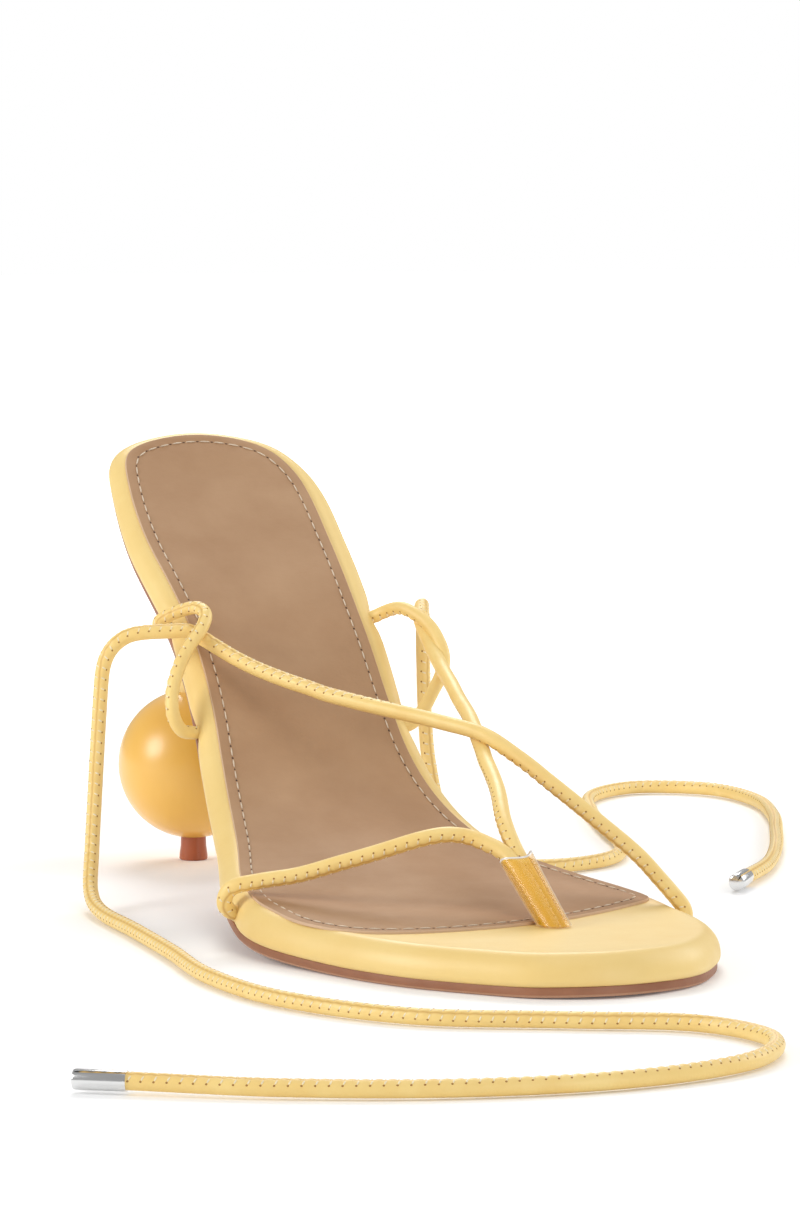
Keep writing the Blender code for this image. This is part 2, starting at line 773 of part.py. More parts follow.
def build_tie(side, route):
    """One ankle tie, straight out of its loop and then on a smooth curve, and the bright tip on its end."""
    hanging = even_points(smooth_curve(route[1:], 12), TIE_STEP)
    line = np.vstack([route[:1], hanging]) * MM
    curve = cord_curve(f"tie_{side}", line, TIE_RADIUS, TIE_BEVEL_RESOLUTION)
    add_object(f"tie_{side}", curve, YELLOW_LEATHER)
    run = Vector(line[-1] - line[-2]).normalized()
    start = Vector(line[-1]) + run * GAP * MM
    work = bmesh.new()
    bmesh.ops.create_cone(work, cap_ends=True, segments=TIE_TIP_SEGMENTS, radius1=TIE_TIP_RADIUS * MM,
                          radius2=TIE_TIP_RADIUS * MM, depth=TIE_TIP_LENGTH * MM)
    rims = [edge for edge in work.edges if abs(edge.verts[0].co.z - edge.verts[1].co.z) < MM]
    bmesh.ops.bevel(work, geom=rims, offset=TIE_TIP_BEVEL * MM, segments=1, profile=0.5, affect="EDGES",
                    material=-1)
    level = Vector((run.x, run.y, 0.0)).normalized()
    turn = Vector((0.0, 0.0, 1.0)).rotation_difference(level).to_matrix()
    bmesh.ops.rotate(work, verts=work.verts, cent=(0.0, 0.0, 0.0), matrix=turn)
    middle = start + level * (TIE_TIP_LENGTH / 2) * MM
    bmesh.ops.translate(work, verts=work.verts, vec=middle)
    mesh_object(f"tie_tip_{side}", work, BRIGHT_METAL)


def clear_scene():
    """Remove whatever the scene holds."""
    for old in list(bpy.data.objects):
        bpy.data.objects.remove(old)


clear_scene()
build_boards()
build_upper()
build_sleeve()
build_seat_block()
build_ball()
build_tip()
build_tie("lateral", TIE_LATERAL)
build_tie("medial", TIE_MEDIAL)
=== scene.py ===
"""Dressed model of a strappy sandal for the right foot, on a ball heel.

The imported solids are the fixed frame. Sizes are in millimetres and become metres where a mesh is placed. A place
on the last is given by three values: across (medial is positive), along (distance over the footbed top, from the
heel back to the toes) and height over the footbed top. In the part's frame the toes point to -Y.
"""
import logging
import math
from dataclasses import dataclass
from enum import Enum
from typing import Any, Callable, Iterable, NamedTuple, Sequence, TypeVar

import bmesh
import bpy
import numpy as np
from bmesh.types import BMEdge, BMesh, BMVert
from mathutils import Matrix, Vector, noise


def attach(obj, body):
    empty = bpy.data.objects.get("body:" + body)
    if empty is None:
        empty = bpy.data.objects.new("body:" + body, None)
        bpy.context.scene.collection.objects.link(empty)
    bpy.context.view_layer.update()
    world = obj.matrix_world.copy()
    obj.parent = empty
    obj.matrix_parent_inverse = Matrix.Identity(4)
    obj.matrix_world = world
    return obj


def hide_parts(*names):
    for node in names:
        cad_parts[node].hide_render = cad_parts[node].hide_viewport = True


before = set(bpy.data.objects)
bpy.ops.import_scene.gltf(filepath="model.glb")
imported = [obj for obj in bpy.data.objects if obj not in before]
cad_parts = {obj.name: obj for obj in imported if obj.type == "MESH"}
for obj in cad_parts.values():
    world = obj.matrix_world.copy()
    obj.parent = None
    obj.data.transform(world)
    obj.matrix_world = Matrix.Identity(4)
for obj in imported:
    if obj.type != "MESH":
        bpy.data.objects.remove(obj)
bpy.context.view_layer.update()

MM = 0.001
FULL_TURN = 2 * math.pi
GAP = 0.3                   # between layers that lie on each other
CURVE_STEPS = 12            # points in each span of a smooth curve
DENSE_STEP = 0.5            # between the points of a line that distances are taken from
AXIS_RADIUS = 0.02          # start of a spun section, beside its axis
BEAD_SIDES = 6
BEAD_RINGS = 4
BODY = "root"
# mask of pale cut edges, and on the cords of painted shade in the seam's crease and low inside the sleeve
EDGE_AND_SHADE_MASK = "cut_edge_and_shade"
LOG = logging.getLogger("sandal")
Colour = tuple[float, float, float, float]
WHITE: Colour = (1.0, 1.0, 1.0, 1.0)
Row = TypeVar("Row")


class Slot(Enum):
    """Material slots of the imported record."""

    YELLOW = "yellow_leather"
    TAN = "tan_leather"
    SOLE = "brown_sole"
    BALL = "amber_gloss"
    TIP = "brown_tip"
    CLEAR = "clear_plastic"
    METAL = "bright_metal"


class Side(Enum):
    """Sides of the shoe."""

    LATERAL = "lateral"
    MEDIAL = "medial"


class PlanRow(NamedTuple):
    """Measures to both sides at one distance from the heel back."""

    along: float
    lateral: float
    medial: float


class ProfileRow(NamedTuple):
    """Downward slope of the footbed top in degrees, and how deep its middle is dished."""

    along: float
    slope: float
    dish: float


class BoardRow(NamedTuple):
    """Thickness of the wrapped footbed board and of the outsole under it."""

    along: float
    board: float
    outsole: float


class RouteRow(NamedTuple):
    """A point of a strap's centre line on the last."""

    across: float
    along: float
    height: float


class FloorRow(NamedTuple):
    """A point of a tie's centre line in the part's frame."""

    x: float
    y: float
    z: float


class SeamRow(NamedTuple):
    """Direction that a cord's seam faces, at a share of the cord's length."""

    share: float
    x: float
    y: float
    z: float


class NeckRow(NamedTuple):
    """Half sizes of the heel's neck at a share of its height."""

    rise: float
    half_width: float
    half_length: float


class LightRow(NamedTuple):
    """A soft light: its place and diameter in metres and its power in watts."""

    name: str
    place: tuple[float, float, float]
    size: float
    power: float


def rows(kind: Callable[..., Row], *values: tuple[float, ...]) -> tuple[Row, ...]:
    """Rows of one kind from plain numbers."""
    return tuple(kind(*value) for value in values)


def column(table: Sequence[Any], name: str, at: Any) -> Any:
    """Values of a table's named column at places between its rows' first numbers."""
    return np.interp(at, [row[0] for row in table], [getattr(row, name) for row in table])


def sampled(wanted: np.ndarray, places: np.ndarray, values: np.ndarray) -> np.ndarray:
    """Rows of values at wanted places between the places that the values stand at."""
    return np.stack([np.interp(wanted, places, part) for part in values.T], axis=1)


def bell(values: Any, width: float) -> Any:
    """Share that is one at zero and fades out smoothly over a width."""
    return np.exp(-((values / width) ** 2))


def unit(vectors: np.ndarray) -> np.ndarray:
    """Rows of an array at length one."""
    return vectors / np.maximum(np.linalg.norm(vectors, axis=1), 1e-9)[:, None]


def distances(points: np.ndarray) -> np.ndarray:
    """Distance of each point of a line from its start."""
    return np.concatenate([[0.0], np.cumsum(np.linalg.norm(np.diff(points, axis=0), axis=1))])


def even_points(points: np.ndarray, step: float) -> np.ndarray:
    """The same line with its points about one step apart.

    Args:
        points: the line's points.
        step: wanted distance between neighbours.

    Returns:
        The new points.
    """
    places = distances(points)
    wanted = np.linspace(0.0, places[-1], max(2, round(places[-1] / step) + 1))
    return sampled(wanted, places, points)


def smooth_curve(points: Sequence[Sequence[float]], per_span: int = CURVE_STEPS, closed: bool = False) -> np.ndarray:
    """Points of a smooth curve through given points.

    Args:
        points: the points that the curve runs through.
        per_span: how many points each span gets.
        closed: whether the curve returns to its first point.

    Returns:
        The curve's points, one row each.
    """
    knots = np.array(points, dtype=float)
    if closed:
        padded = np.vstack([knots[-1:], knots, knots[:2]])
    else:
        padded = np.vstack([2 * knots[:1] - knots[1:2], knots, 2 * knots[-1:] - knots[-2:-1]])
    chords = np.linalg.norm(np.diff(padded, axis=0), axis=1)
    places = np.concatenate([[0.0], np.cumsum(chords)])
    tangents = (padded[2:] - padded[:-2]) / (places[2:] - places[:-2])[:, None]
    curve = []
    for span in range(len(padded) - 3):
        start, end, reach = padded[span + 1], padded[span + 2], chords[span + 1]
        for s in np.arange(per_span) / per_span:
            curve.append(
                (2 * s**3 - 3 * s**2 + 1) * start
                + (s**3 - 2 * s**2 + s) * reach * tangents[span]
                + (3 * s**2 - 2 * s**3) * end
                + (s**3 - s**2) * reach * tangents[span + 1]
            )
    if not closed:
        curve.append(knots[-1])
    return np.array(curve)


def inset_outline(outline: np.ndarray, distance: float) -> np.ndarray:
    """A closed outline (across, along), up the lateral side and down the medial, moved inwards by a distance."""
    run = unit(np.roll(outline, -1, axis=0) - np.roll(outline, 1, axis=0))
    return outline + np.stack([run[:, 1], -run[:, 0]], axis=1) * distance


def closed_line(outline: np.ndarray, step: float) -> np.ndarray:
    """A closed outline as a line that ends at its start, with its points about one step apart."""
    return even_points(np.vstack([outline, outline[:1]]), step)


@dataclass
class Last:
    """The form that the shoe is built on: its plan and its side profile."""

    length: float = 242.0
    heel_back_y: float = 101.89
    axis_x: float = -2.745
    line_step: float = 0.5
    per_row: int = 10
    plan: tuple[PlanRow, ...] = rows(
        PlanRow, (0.0, 0.0, 0.0), (2.5, 12.6, 12.6), (8.0, 20.0, 20.3), (20.0, 22.9, 25.1), (40.0, 24.6, 25.3),
        (70.0, 23.5, 23.6), (100.0, 25.9, 22.1), (130.0, 31.2, 26.2), (155.0, 38.4, 36.4), (175.0, 40.0, 43.4),
        (195.0, 34.2, 44.6), (215.0, 25.9, 40.8), (230.0, 14.6, 31.9), (238.0, 6.4, 22.3), (242.0, -7.6, 7.6),
    )
    profile: tuple[ProfileRow, ...] = rows(
        ProfileRow, (0.0, 35.6, 0.0), (16.0, 35.6, 1.0), (45.0, 34.1, 1.2), (75.0, 39.0, 1.0), (100.0, 46.0, 0.5),
        (125.0, 27.2, 0.0), (150.0, 9.9, 0.0), (175.0, 5.6, 0.0), (205.0, 0.0, 0.0), (228.0, 0.0, 0.0),
        (242.0, -4.0, 0.0),
    )
    boards: tuple[BoardRow, ...] = rows(
        BoardRow, (0.0, 4.4, 1.6), (130.0, 4.4, 1.6), (165.0, 5.8, 1.9), (242.0, 5.8, 1.9),
    )

    def __post_init__(self) -> None:
        """Sum up the side profile from its slopes."""
        self.line_along = np.arange(0.0, self.length + self.line_step / 2, self.line_step)
        slope = self.slope((self.line_along[1:] + self.line_along[:-1]) / 2)
        fall, reach = (np.concatenate([[0.0], np.cumsum(part(slope) * self.line_step)]) for part in (np.sin, np.cos))
        self.line_y = self.heel_back_y - reach
        self.line_z = fall.max() - fall + GAP + self.boards[-1].board + self.boards[-1].outsole

    def slope(self, along: Any) -> Any:
        """Downward slope of the footbed top in radians."""
        return np.radians(column(self.profile, "slope", along))

    def place(self, points: np.ndarray) -> np.ndarray:
        """Places in the part's frame, in millimetres, of points given on the last.

        Args:
            points: rows of across, along and height.

        Returns:
            Rows of x, y and z.
        """
        across, along, height = np.asarray(points, dtype=float).T
        half = np.where(across > 0, column(self.plan, "medial", along), column(self.plan, "lateral", along))
        share = np.minimum(1.0, np.abs(across) / np.maximum(half, 1.0))
        rise = height - column(self.profile, "dish", along) * (1.0 - share**2)
        slope = self.slope(along)
        y = np.interp(along, self.line_along, self.line_y) - np.sin(slope) * rise
        z = np.interp(along, self.line_along, self.line_z) + np.cos(slope) * rise
        return np.stack([self.axis_x + across, y, z], axis=1)

    def outline(self) -> np.ndarray:
        """Closed outline of the footbed.

        Returns:
            Its points as (across, along), up the lateral side and down the medial.
        """
        lateral = [(-row.lateral, row.along) for row in self.plan]
        medial = [(row.medial, row.along) for row in self.plan[-2:0:-1]]
        return smooth_curve(lateral + medial, self.per_row, closed=True)

    def up(self, along: float) -> np.ndarray:
        """Direction out of the footbed top."""
        slope = self.slope(along)
        return np.array((0.0, -np.sin(slope), np.cos(slope)))


class NodeSheet:
    """Adds nodes to one tree and links them."""

    def __init__(self, tree: bpy.types.NodeTree) -> None:
        """Start on a tree."""
        self.tree = tree

    def feed(self, node: bpy.types.Node, inputs: dict[Any, Any]) -> None:
        """Give a node its inputs.

        Args:
            node: the node.
            inputs: a value or an output socket for each named or numbered input.
        """
        for key, value in inputs.items():
            if isinstance(value, bpy.types.NodeSocket):
                self.tree.links.new(value, node.inputs[key])
            else:
                node.inputs[key].default_value = value

    def add(self, kind: str, inputs: dict[Any, Any] | None = None, **settings: Any) -> bpy.types.Node:
        """Add a node.

        Args:
            kind: the node's type name.
            inputs: its inputs, as feed takes them.
            settings: the node's own settings.

        Returns:
            The new node.
        """
        node = self.tree.nodes.new(kind)
        for key, value in settings.items():
            setattr(node, key, value)
        self.feed(node, inputs or {})
        return node

    def mix(self, share: Any, first: Any, second: Any) -> bpy.types.NodeSocket:
        """Colour between two colours, by the share of the second."""
        return self.add("ShaderNodeMix", {0: share, 6: first, 7: second}, data_type="RGBA").outputs[2]

    def spread(self, value: bpy.types.NodeSocket, low: float, high: float, start: float = 0.0,
               end: float = 1.0) -> bpy.types.NodeSocket:
        """Value mapped from a range, start to end, onto another, low to high."""
        ranges = {"From Min": start, "From Max": end, "To Min": low, "To Max": high}
        return self.add("ShaderNodeMapRange", {"Value": value, **ranges}).outputs["Result"]

    def noise(self, vector: Any, scale: Any, detail: float, roughness: float = 0.5) -> bpy.types.NodeSocket:
        """Value of a noise texture."""
        inputs = {"Vector": vector, "Scale": scale, "Detail": detail, "Roughness": roughness}
        return self.add("ShaderNodeTexNoise", inputs).outputs[0]

    def place(self) -> bpy.types.NodeSocket:
        """Object coordinates."""
        return self.add("ShaderNodeTexCoord").outputs["Object"]

    def group(self, tree: bpy.types.NodeTree, scales: dict[str, float]) -> Any:
        """Output sockets of a shader group on Object coordinates."""
        return self.add("ShaderNodeGroup", {"Vector": self.place(), **scales}, node_tree=tree).outputs

    def mask(self) -> bpy.types.NodeSocket:
        """The mesh's mask of cut edges, and of painted shade on the cords."""
        return self.add("ShaderNodeAttribute", attribute_name=EDGE_AND_SHADE_MASK).outputs["Fac"]

    def bump(self, height: bpy.types.NodeSocket, strength: float, depth: float) -> bpy.types.NodeSocket:
        """Normal for a height of the given depth in millimetres."""
        inputs = {"Strength": strength, "Distance": depth * MM, "Height": height}
        return self.add("ShaderNodeBump", inputs).outputs[0]


class ShaderGroup:
    """A shader group on a vector, with named values in and out, built once."""

    name = ""
    values_in: tuple[str, ...] = ()
    values_out: tuple[str, ...] = ()

    @classmethod
    def lay_out(cls, sheet: NodeSheet, start: Any) -> dict[str, bpy.types.NodeSocket]:
        """Sockets for the group's outputs, from the sockets of its inputs."""
        raise NotImplementedError

    @classmethod
    def tree(cls) -> bpy.types.NodeTree:
        """Build the group, unless it is there.

        Returns:
            The group's node tree.
        """
        tree = bpy.data.node_groups.get(cls.name)
        if tree is None:
            tree = bpy.data.node_groups.new(cls.name, "ShaderNodeTree")
            tree.interface.new_socket("Vector", in_out="INPUT", socket_type="NodeSocketVector")
            for way, labels in (("INPUT", cls.values_in), ("OUTPUT", cls.values_out)):
                for label in labels:
                    tree.interface.new_socket(label, in_out=way, socket_type="NodeSocketFloat")
            sheet = NodeSheet(tree)
            start = sheet.add("NodeGroupInput").outputs
            sheet.add("NodeGroupOutput", cls.lay_out(sheet, start))
        return tree


class GrainGroup(ShaderGroup):
    """Grain and uneven tone of leather."""

    name = "leather_grain"
    values_in = ("Grain Scale", "Tone Scale")
    values_out = ("Height", "Tone")
    pore_detail = 4.0
    drift_detail = 5.0
    drift_roughness = 0.6
    drift_range = (0.3, 0.7)

    @classmethod
    def lay_out(cls, sheet: NodeSheet, start: Any) -> dict[str, bpy.types.NodeSocket]:
        """Lay out the grain and the drift of its tone.

        Args:
            sheet: the group's nodes.
            start: sockets of the group's inputs.

        Returns:
            Sockets for its outputs.
        """
        vector, scale = start["Vector"], start["Grain Scale"]
        cells = sheet.add("ShaderNodeTexVoronoi", {"Vector": vector, "Scale": scale}, feature="SMOOTH_F1")
        pores = sheet.noise(vector, scale, cls.pore_detail)
        height = sheet.add("ShaderNodeMath", {0: cells.outputs["Distance"], 1: pores}, operation="ADD")
        drift = sheet.noise(vector, start["Tone Scale"], cls.drift_detail, cls.drift_roughness)
        return {"Height": height.outputs[0], "Tone": sheet.spread(drift, 0.0, 1.0, *cls.drift_range)}


class CloudGroup(ShaderGroup):
    """Faint cloud and fine bumps of plastic, metal and thread."""

    name = "fine_cloud"
    values_in = ("Cloud Scale", "Bump Scale")
    values_out = ("Cloud", "Bumps")
    cloud_detail = 3.0
    bump_detail = 2.0

    @classmethod
    def lay_out(cls, sheet: NodeSheet, start: Any) -> dict[str, bpy.types.NodeSocket]:
        """Lay out the cloud and the bumps.

        Args:
            sheet: the group's nodes.
            start: sockets of the group's inputs.

        Returns:
            Sockets for its outputs.
        """
        cloud = sheet.noise(start["Vector"], start["Cloud Scale"], cls.cloud_detail)
        bumps = sheet.noise(start["Vector"], start["Bump Scale"], cls.bump_detail)
        return {"Cloud": cloud, "Bumps": bumps}


@dataclass(frozen=True)
class Finish:
    """A named finish and its material slot. Each kind of finish lays out its own nodes."""

    name: str
    slot: Slot | None

    def inputs(self, sheet: NodeSheet) -> dict[str, Any]:
        """Values and sockets for the shader's inputs."""
        raise NotImplementedError

    def material(self) -> bpy.types.Material:
        """The finish as a material, made once.

        Returns:
            The material.
        """
        made = bpy.data.materials.get(self.name)
        if made is None:
            made = bpy.data.materials.new(self.name)
            made.use_nodes = True
            sheet = NodeSheet(made.node_tree)
            sheet.feed(made.node_tree.nodes["Principled BSDF"], self.inputs(sheet))
        return made


@dataclass(frozen=True)
class LeatherFinish(Finish):
    """Leather, or a board with a leather look: two tones, grain and gloss."""

    light: Colour
    deep: Colour
    roughness: float
    grain_scale: float
    tone_scale: float
    grain_depth: float
    coat: float = 0.0
    edge_and_shade_tone: Colour | None = None
    gloss: float = 0.5
    coat_roughness: float = 0.3
    bump_strength: float = 0.6
    smoother: float = 0.05
    rougher: float = 0.06

    def inputs(self, sheet: NodeSheet) -> dict[str, Any]:
        """Lay out the leather's nodes.

        Args:
            sheet: the material's nodes.

        Returns:
            The shader's inputs.
        """
        scales = {"Grain Scale": self.grain_scale, "Tone Scale": self.tone_scale}
        grain = sheet.group(GrainGroup.tree(), scales)
        colour = sheet.mix(grain["Tone"], self.light, self.deep)
        # mask tone: the sock's pale cut edge, the outsole's paler lower edge, and painted shade on the cords
        if self.edge_and_shade_tone:
            colour = sheet.mix(sheet.mask(), colour, self.edge_and_shade_tone)
        return {
            "Base Color": colour,
            "Roughness": sheet.spread(grain["Tone"], self.roughness - self.smoother, self.roughness + self.rougher),
            "Normal": sheet.bump(grain["Height"], self.bump_strength, self.grain_depth),
            "Coat Weight": self.coat,
            "Coat Roughness": self.coat_roughness,
            "Specular IOR Level": self.gloss,
        }


@dataclass(frozen=True)
class PlainFinish(Finish):
    """Plastic, metal or thread: a colour with faint cloud, and its gloss."""

    light: Colour
    deep: Colour
    roughness: float
    cloud_scale: float
    bump_scale: float
    bump_depth: float
    metallic: float = 0.0
    coat: float = 0.0
    coat_roughness: float = 0.05
    bump_strength: float = 0.5
    smoothest: float = 0.8
    roughest: float = 1.2

    def inputs(self, sheet: NodeSheet) -> dict[str, Any]:
        """Lay out the cloud and the fine bumps.

        Args:
            sheet: the material's nodes.

        Returns:
            The shader's inputs.
        """
        scales = {"Cloud Scale": self.cloud_scale, "Bump Scale": self.bump_scale}
        cloud = sheet.group(CloudGroup.tree(), scales)
        low, high = self.roughness * self.smoothest, self.roughness * self.roughest
        return {
            "Base Color": sheet.mix(cloud["Cloud"], self.light, self.deep),
            "Roughness": sheet.spread(cloud["Bumps"], low, high),
            "Normal": sheet.bump(cloud["Bumps"], self.bump_strength, self.bump_depth),
            "Metallic": self.metallic,
            "Coat Weight": self.coat,
            "Coat Roughness": self.coat_roughness,
        }


@dataclass(frozen=True)
class ClearFinish(Finish):
    """Clear film: it deepens what lies under it, and looks whiter where it turns away, partly from its thickness seen
    edge-on and partly as a painted sheen.
    """

    face_colour: Colour
    edge_sheen_colour: Colour
    roughness: float
    face_alpha: float
    edge_alpha: float
    blend: float = 0.3
    turning: tuple[float, float] = (0.3, 0.85)

    def inputs(self, sheet: NodeSheet) -> dict[str, Any]:
        """Lay out the change from face to edge.

        Args:
            sheet: the material's nodes.

        Returns:
            The shader's inputs.
        """
        facing = sheet.add("ShaderNodeLayerWeight", {"Blend": self.blend}).outputs["Facing"]
        sides = {0: sheet.spread(facing, 0.0, 1.0, *self.turning), 1: sheet.mask()}
        turned = sheet.add("ShaderNodeMath", sides, operation="MAXIMUM").outputs[0]
        return {
            # the pale blue-white colour where the film turns away and at its rim: partly the film's edge, partly
            # painted sheen
            "Base Color": sheet.mix(turned, self.face_colour, self.edge_sheen_colour),
            "Roughness": self.roughness,
            "Alpha": sheet.spread(turned, self.face_alpha, self.edge_alpha),
        }


@dataclass(frozen=True)
class FloorFinish(Finish):
    """Pale floor that glows more with the distance, until it meets the backdrop."""

    colour: Colour
    roughness: float
    glow: tuple[float, float]
    glow_reach: tuple[float, float]

    def inputs(self, sheet: NodeSheet) -> dict[str, Any]:
        """Lay out the glow.

        Args:
            sheet: the material's nodes.

        Returns:
            The shader's inputs.
        """
        reach = sheet.add("ShaderNodeVectorMath", {0: sheet.place()}, operation="LENGTH").outputs["Value"]
        return {
            "Base Color": self.colour,
            "Roughness": self.roughness,
            "Emission Color": WHITE,
            "Emission Strength": sheet.spread(reach, *self.glow, *self.glow_reach),
        }


WRAP_LEATHER = LeatherFinish(
    "wrapped_yellow_leather", Slot.YELLOW, (0.83, 0.615, 0.24, 1.0), (0.80, 0.57, 0.205, 1.0), 0.46,
    1500.0, 60.0, 0.03, coat=0.06,
)
# its darker mask tone is painted shade, in the seam's crease and low inside the clear sleeve
CORD_LEATHER = LeatherFinish(
    "rolled_yellow_leather", Slot.YELLOW, (0.865, 0.64, 0.24, 1.0), (0.83, 0.575, 0.19, 1.0), 0.46,
    1900.0, 140.0, 0.055, coat=0.05, edge_and_shade_tone=(0.60, 0.33, 0.07, 1.0),
)
SOCK_LEATHER = LeatherFinish(
    "tan_sock_leather", Slot.TAN, (0.445, 0.272, 0.152, 1.0), (0.38, 0.22, 0.118, 1.0), 0.6,
    1300.0, 45.0, 0.04, edge_and_shade_tone=(0.66, 0.47, 0.32, 1.0), gloss=0.15,
)
SOLE_LEATHER = LeatherFinish(
    "brown_sole_leather", Slot.SOLE, (0.335, 0.142, 0.072, 1.0), (0.255, 0.098, 0.046, 1.0), 0.5,
    1100.0, 70.0, 0.05, edge_and_shade_tone=(0.56, 0.33, 0.21, 1.0),
)
AMBER_LACQUER = PlainFinish(
    "amber_lacquer", Slot.BALL, (0.89, 0.515, 0.09, 1.0), (0.86, 0.475, 0.066, 1.0), 0.42,
    30.0, 300.0, 0.004, coat=0.8, coat_roughness=0.26,
)
BROWN_PLASTIC = PlainFinish(
    "brown_tip_plastic", Slot.TIP, (0.44, 0.12, 0.046, 1.0), (0.36, 0.09, 0.034, 1.0), 0.3, 200.0, 900.0, 0.02,
)
BRIGHT_METAL = PlainFinish(
    "bright_tip_metal", Slot.METAL, (0.80, 0.80, 0.79, 1.0), (0.70, 0.70, 0.70, 1.0), 0.2,
    300.0, 2500.0, 0.004, metallic=1.0,
)
PALE_THREAD = PlainFinish(
    "pale_thread", Slot.YELLOW, (0.90, 0.80, 0.58, 1.0), (0.82, 0.70, 0.46, 1.0), 0.6, 900.0, 6000.0, 0.04,
)
CREAM_THREAD = PlainFinish(
    "cream_thread", Slot.TAN, (0.70, 0.59, 0.45, 1.0), (0.60, 0.48, 0.35, 1.0), 0.6, 900.0, 6000.0, 0.04,
)
# dark beads in the needle holes: painted shade
CORD_HOLE_PAINTED_SHADE = PlainFinish(
    "cord_hole_painted_shade", Slot.YELLOW, (0.40, 0.20, 0.05, 1.0), (0.32, 0.15, 0.035, 1.0), 0.8, 900.0, 3000.0, 0.01,
)
SOCK_HOLE_PAINTED_SHADE = PlainFinish(
    "sock_hole_painted_shade", Slot.TAN, (0.115, 0.06, 0.034, 1.0), (0.08, 0.04, 0.022, 1.0), 0.8, 900.0, 3000.0, 0.01,
)
# its pale blue-white edge colour is partly painted sheen
CLEAR_FILM = ClearFinish(
    "clear_sleeve_film", Slot.CLEAR, (0.98, 0.56, 0.0, 1.0), (0.80, 0.84, 0.89, 1.0), 0.12, 0.22, 0.9,
)
PALE_FLOOR = FloorFinish("pale_floor", None, (0.96, 0.96, 0.96, 1.0), 0.7, (0.06, 0.75), (0.2, 1.2))


def added(name: str, data: Any) -> bpy.types.Object:
    """New object in the scene.

    Args:
        name: its name.
        data: its mesh, light or camera.

    Returns:
        The object.
    """
    made = bpy.data.objects.new(name, data)
    bpy.context.scene.collection.objects.link(made)
    return made


def meshed(name: str, work: BMesh, finish: Finish) -> bpy.types.Object:
    """New object from a bmesh in metres.

    Args:
        name: its name.
        work: the bmesh, which is freed.
        finish: its finish.

    Returns:
        The object.
    """
    mesh = bpy.data.meshes.new(name)
    work.to_mesh(mesh)
    work.free()
    mesh.materials.append(finish.material())
    return added(name, mesh)


def add_piece(name: str, work: BMesh, finish: Finish, *nodes: str, sharp: float = 40.0) -> bpy.types.Object:
    """Finish a piece with its faces turned out and shaded smooth, and let it ride on the shoe.

    Args:
        name: the piece's name.
        work: its bmesh in metres, which is freed.
        finish: its finish.
        nodes: names of the solids that it stands for.
        sharp: edges that turn by more degrees than this stay sharp.

    Returns:
        The piece.
    """
    bmesh.ops.recalc_face_normals(work, faces=work.faces)
    piece = meshed(name, work, finish)
    piece.data.shade_smooth()
    piece.data.set_sharp_from_angle(angle=math.radians(sharp))
    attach(piece, BODY)
    if nodes:
        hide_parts(*nodes)
    LOG.info("%s: %d faces", name, len(piece.data.polygons))
    return piece


def picked(items: Iterable[Any], kind: type) -> list[Any]:
    """The items of one kind."""
    return [item for item in items if isinstance(item, kind)]


def drawn_out(work: BMesh, edges: Sequence[BMEdge]) -> tuple[list[BMVert], list[BMEdge]]:
    """New points and edges of a ring that is drawn out by one step."""
    geom = bmesh.ops.extrude_edge_only(work, edges=edges)["geom"]
    return picked(geom, BMVert), picked(geom, BMEdge)


def spun(section: Iterable[tuple[float, float]], steps: int, angle: float = FULL_TURN) -> BMesh:
    """Surface of a section that is spun round the Z axis.

    Args:
        section: rows of radius and height.
        steps: how many steps the turn has.
        angle: how far the section is spun.

    Returns:
        The surface in a new bmesh.
    """
    work = bmesh.new()
    verts = [work.verts.new((radius, 0.0, height)) for radius, height in section]
    edges = [work.edges.new(pair) for pair in zip(verts, verts[1:])]
    bmesh.ops.spin(work, geom=[*verts, *edges], cent=(0.0, 0.0, 0.0), axis=(0.0, 0.0, 1.0), steps=steps,
                   angle=angle, use_merge=angle == FULL_TURN, use_duplicate=False)
    return work


def fill_ends(work: BMesh) -> None:
    """Close a bmesh at its open edges."""
    bmesh.ops.holes_fill(work, edges=[edge for edge in work.edges if edge.is_boundary], sides=0)


def settle(work: BMesh, place: Sequence[float]) -> None:
    """Move a bmesh to its place in millimetres, and on to metres."""
    bmesh.ops.translate(work, verts=work.verts, vec=place)
    bmesh.ops.scale(work, verts=work.verts, vec=(MM, MM, MM))


def move_points(work: BMesh, change: Callable[[np.ndarray], np.ndarray]) -> None:
    """Move every vertex of a bmesh by one rule.

    Args:
        work: the bmesh.
        change: takes the places as rows and gives the new ones.
    """
    places = change(np.array([vert.co for vert in work.verts]))
    for vert, place in zip(work.verts, places):
        vert.co = place


def mark_edges_and_shade(work: BMesh, depths: Iterable[float]) -> None:
    """Write the mask of cut edges, and of painted shade on the cords.

    Args:
        work: the bmesh.
        depths: the mask's value for each vertex.
    """
    shade = work.verts.layers.float.new(EDGE_AND_SHADE_MASK)
    for vert, depth in zip(work.verts, depths):
        vert[shade] = depth


def laid(start: np.ndarray, end: np.ndarray, up: np.ndarray, half_width: float, half_height: float) -> Matrix:
    """Matrix that lays a unit bead between two points.

    Args:
        start: one end, in millimetres.
        end: the other end.
        up: direction out of the surface.
        half_width: half of the bead's width.
        half_height: half of its height.

    Returns:
        The matrix, for a bead of radius one with its long axis on X.
    """
    middle, half = Vector((start + end) / 2), Vector((end - start) / 2)
    run = half.normalized()
    side = Vector(up).cross(run).normalized()
    axes = (half, side * half_width, run.cross(side) * half_height)
    return Matrix.Translation(middle * MM) @ Matrix([axis * MM for axis in axes]).transposed().to_4x4()


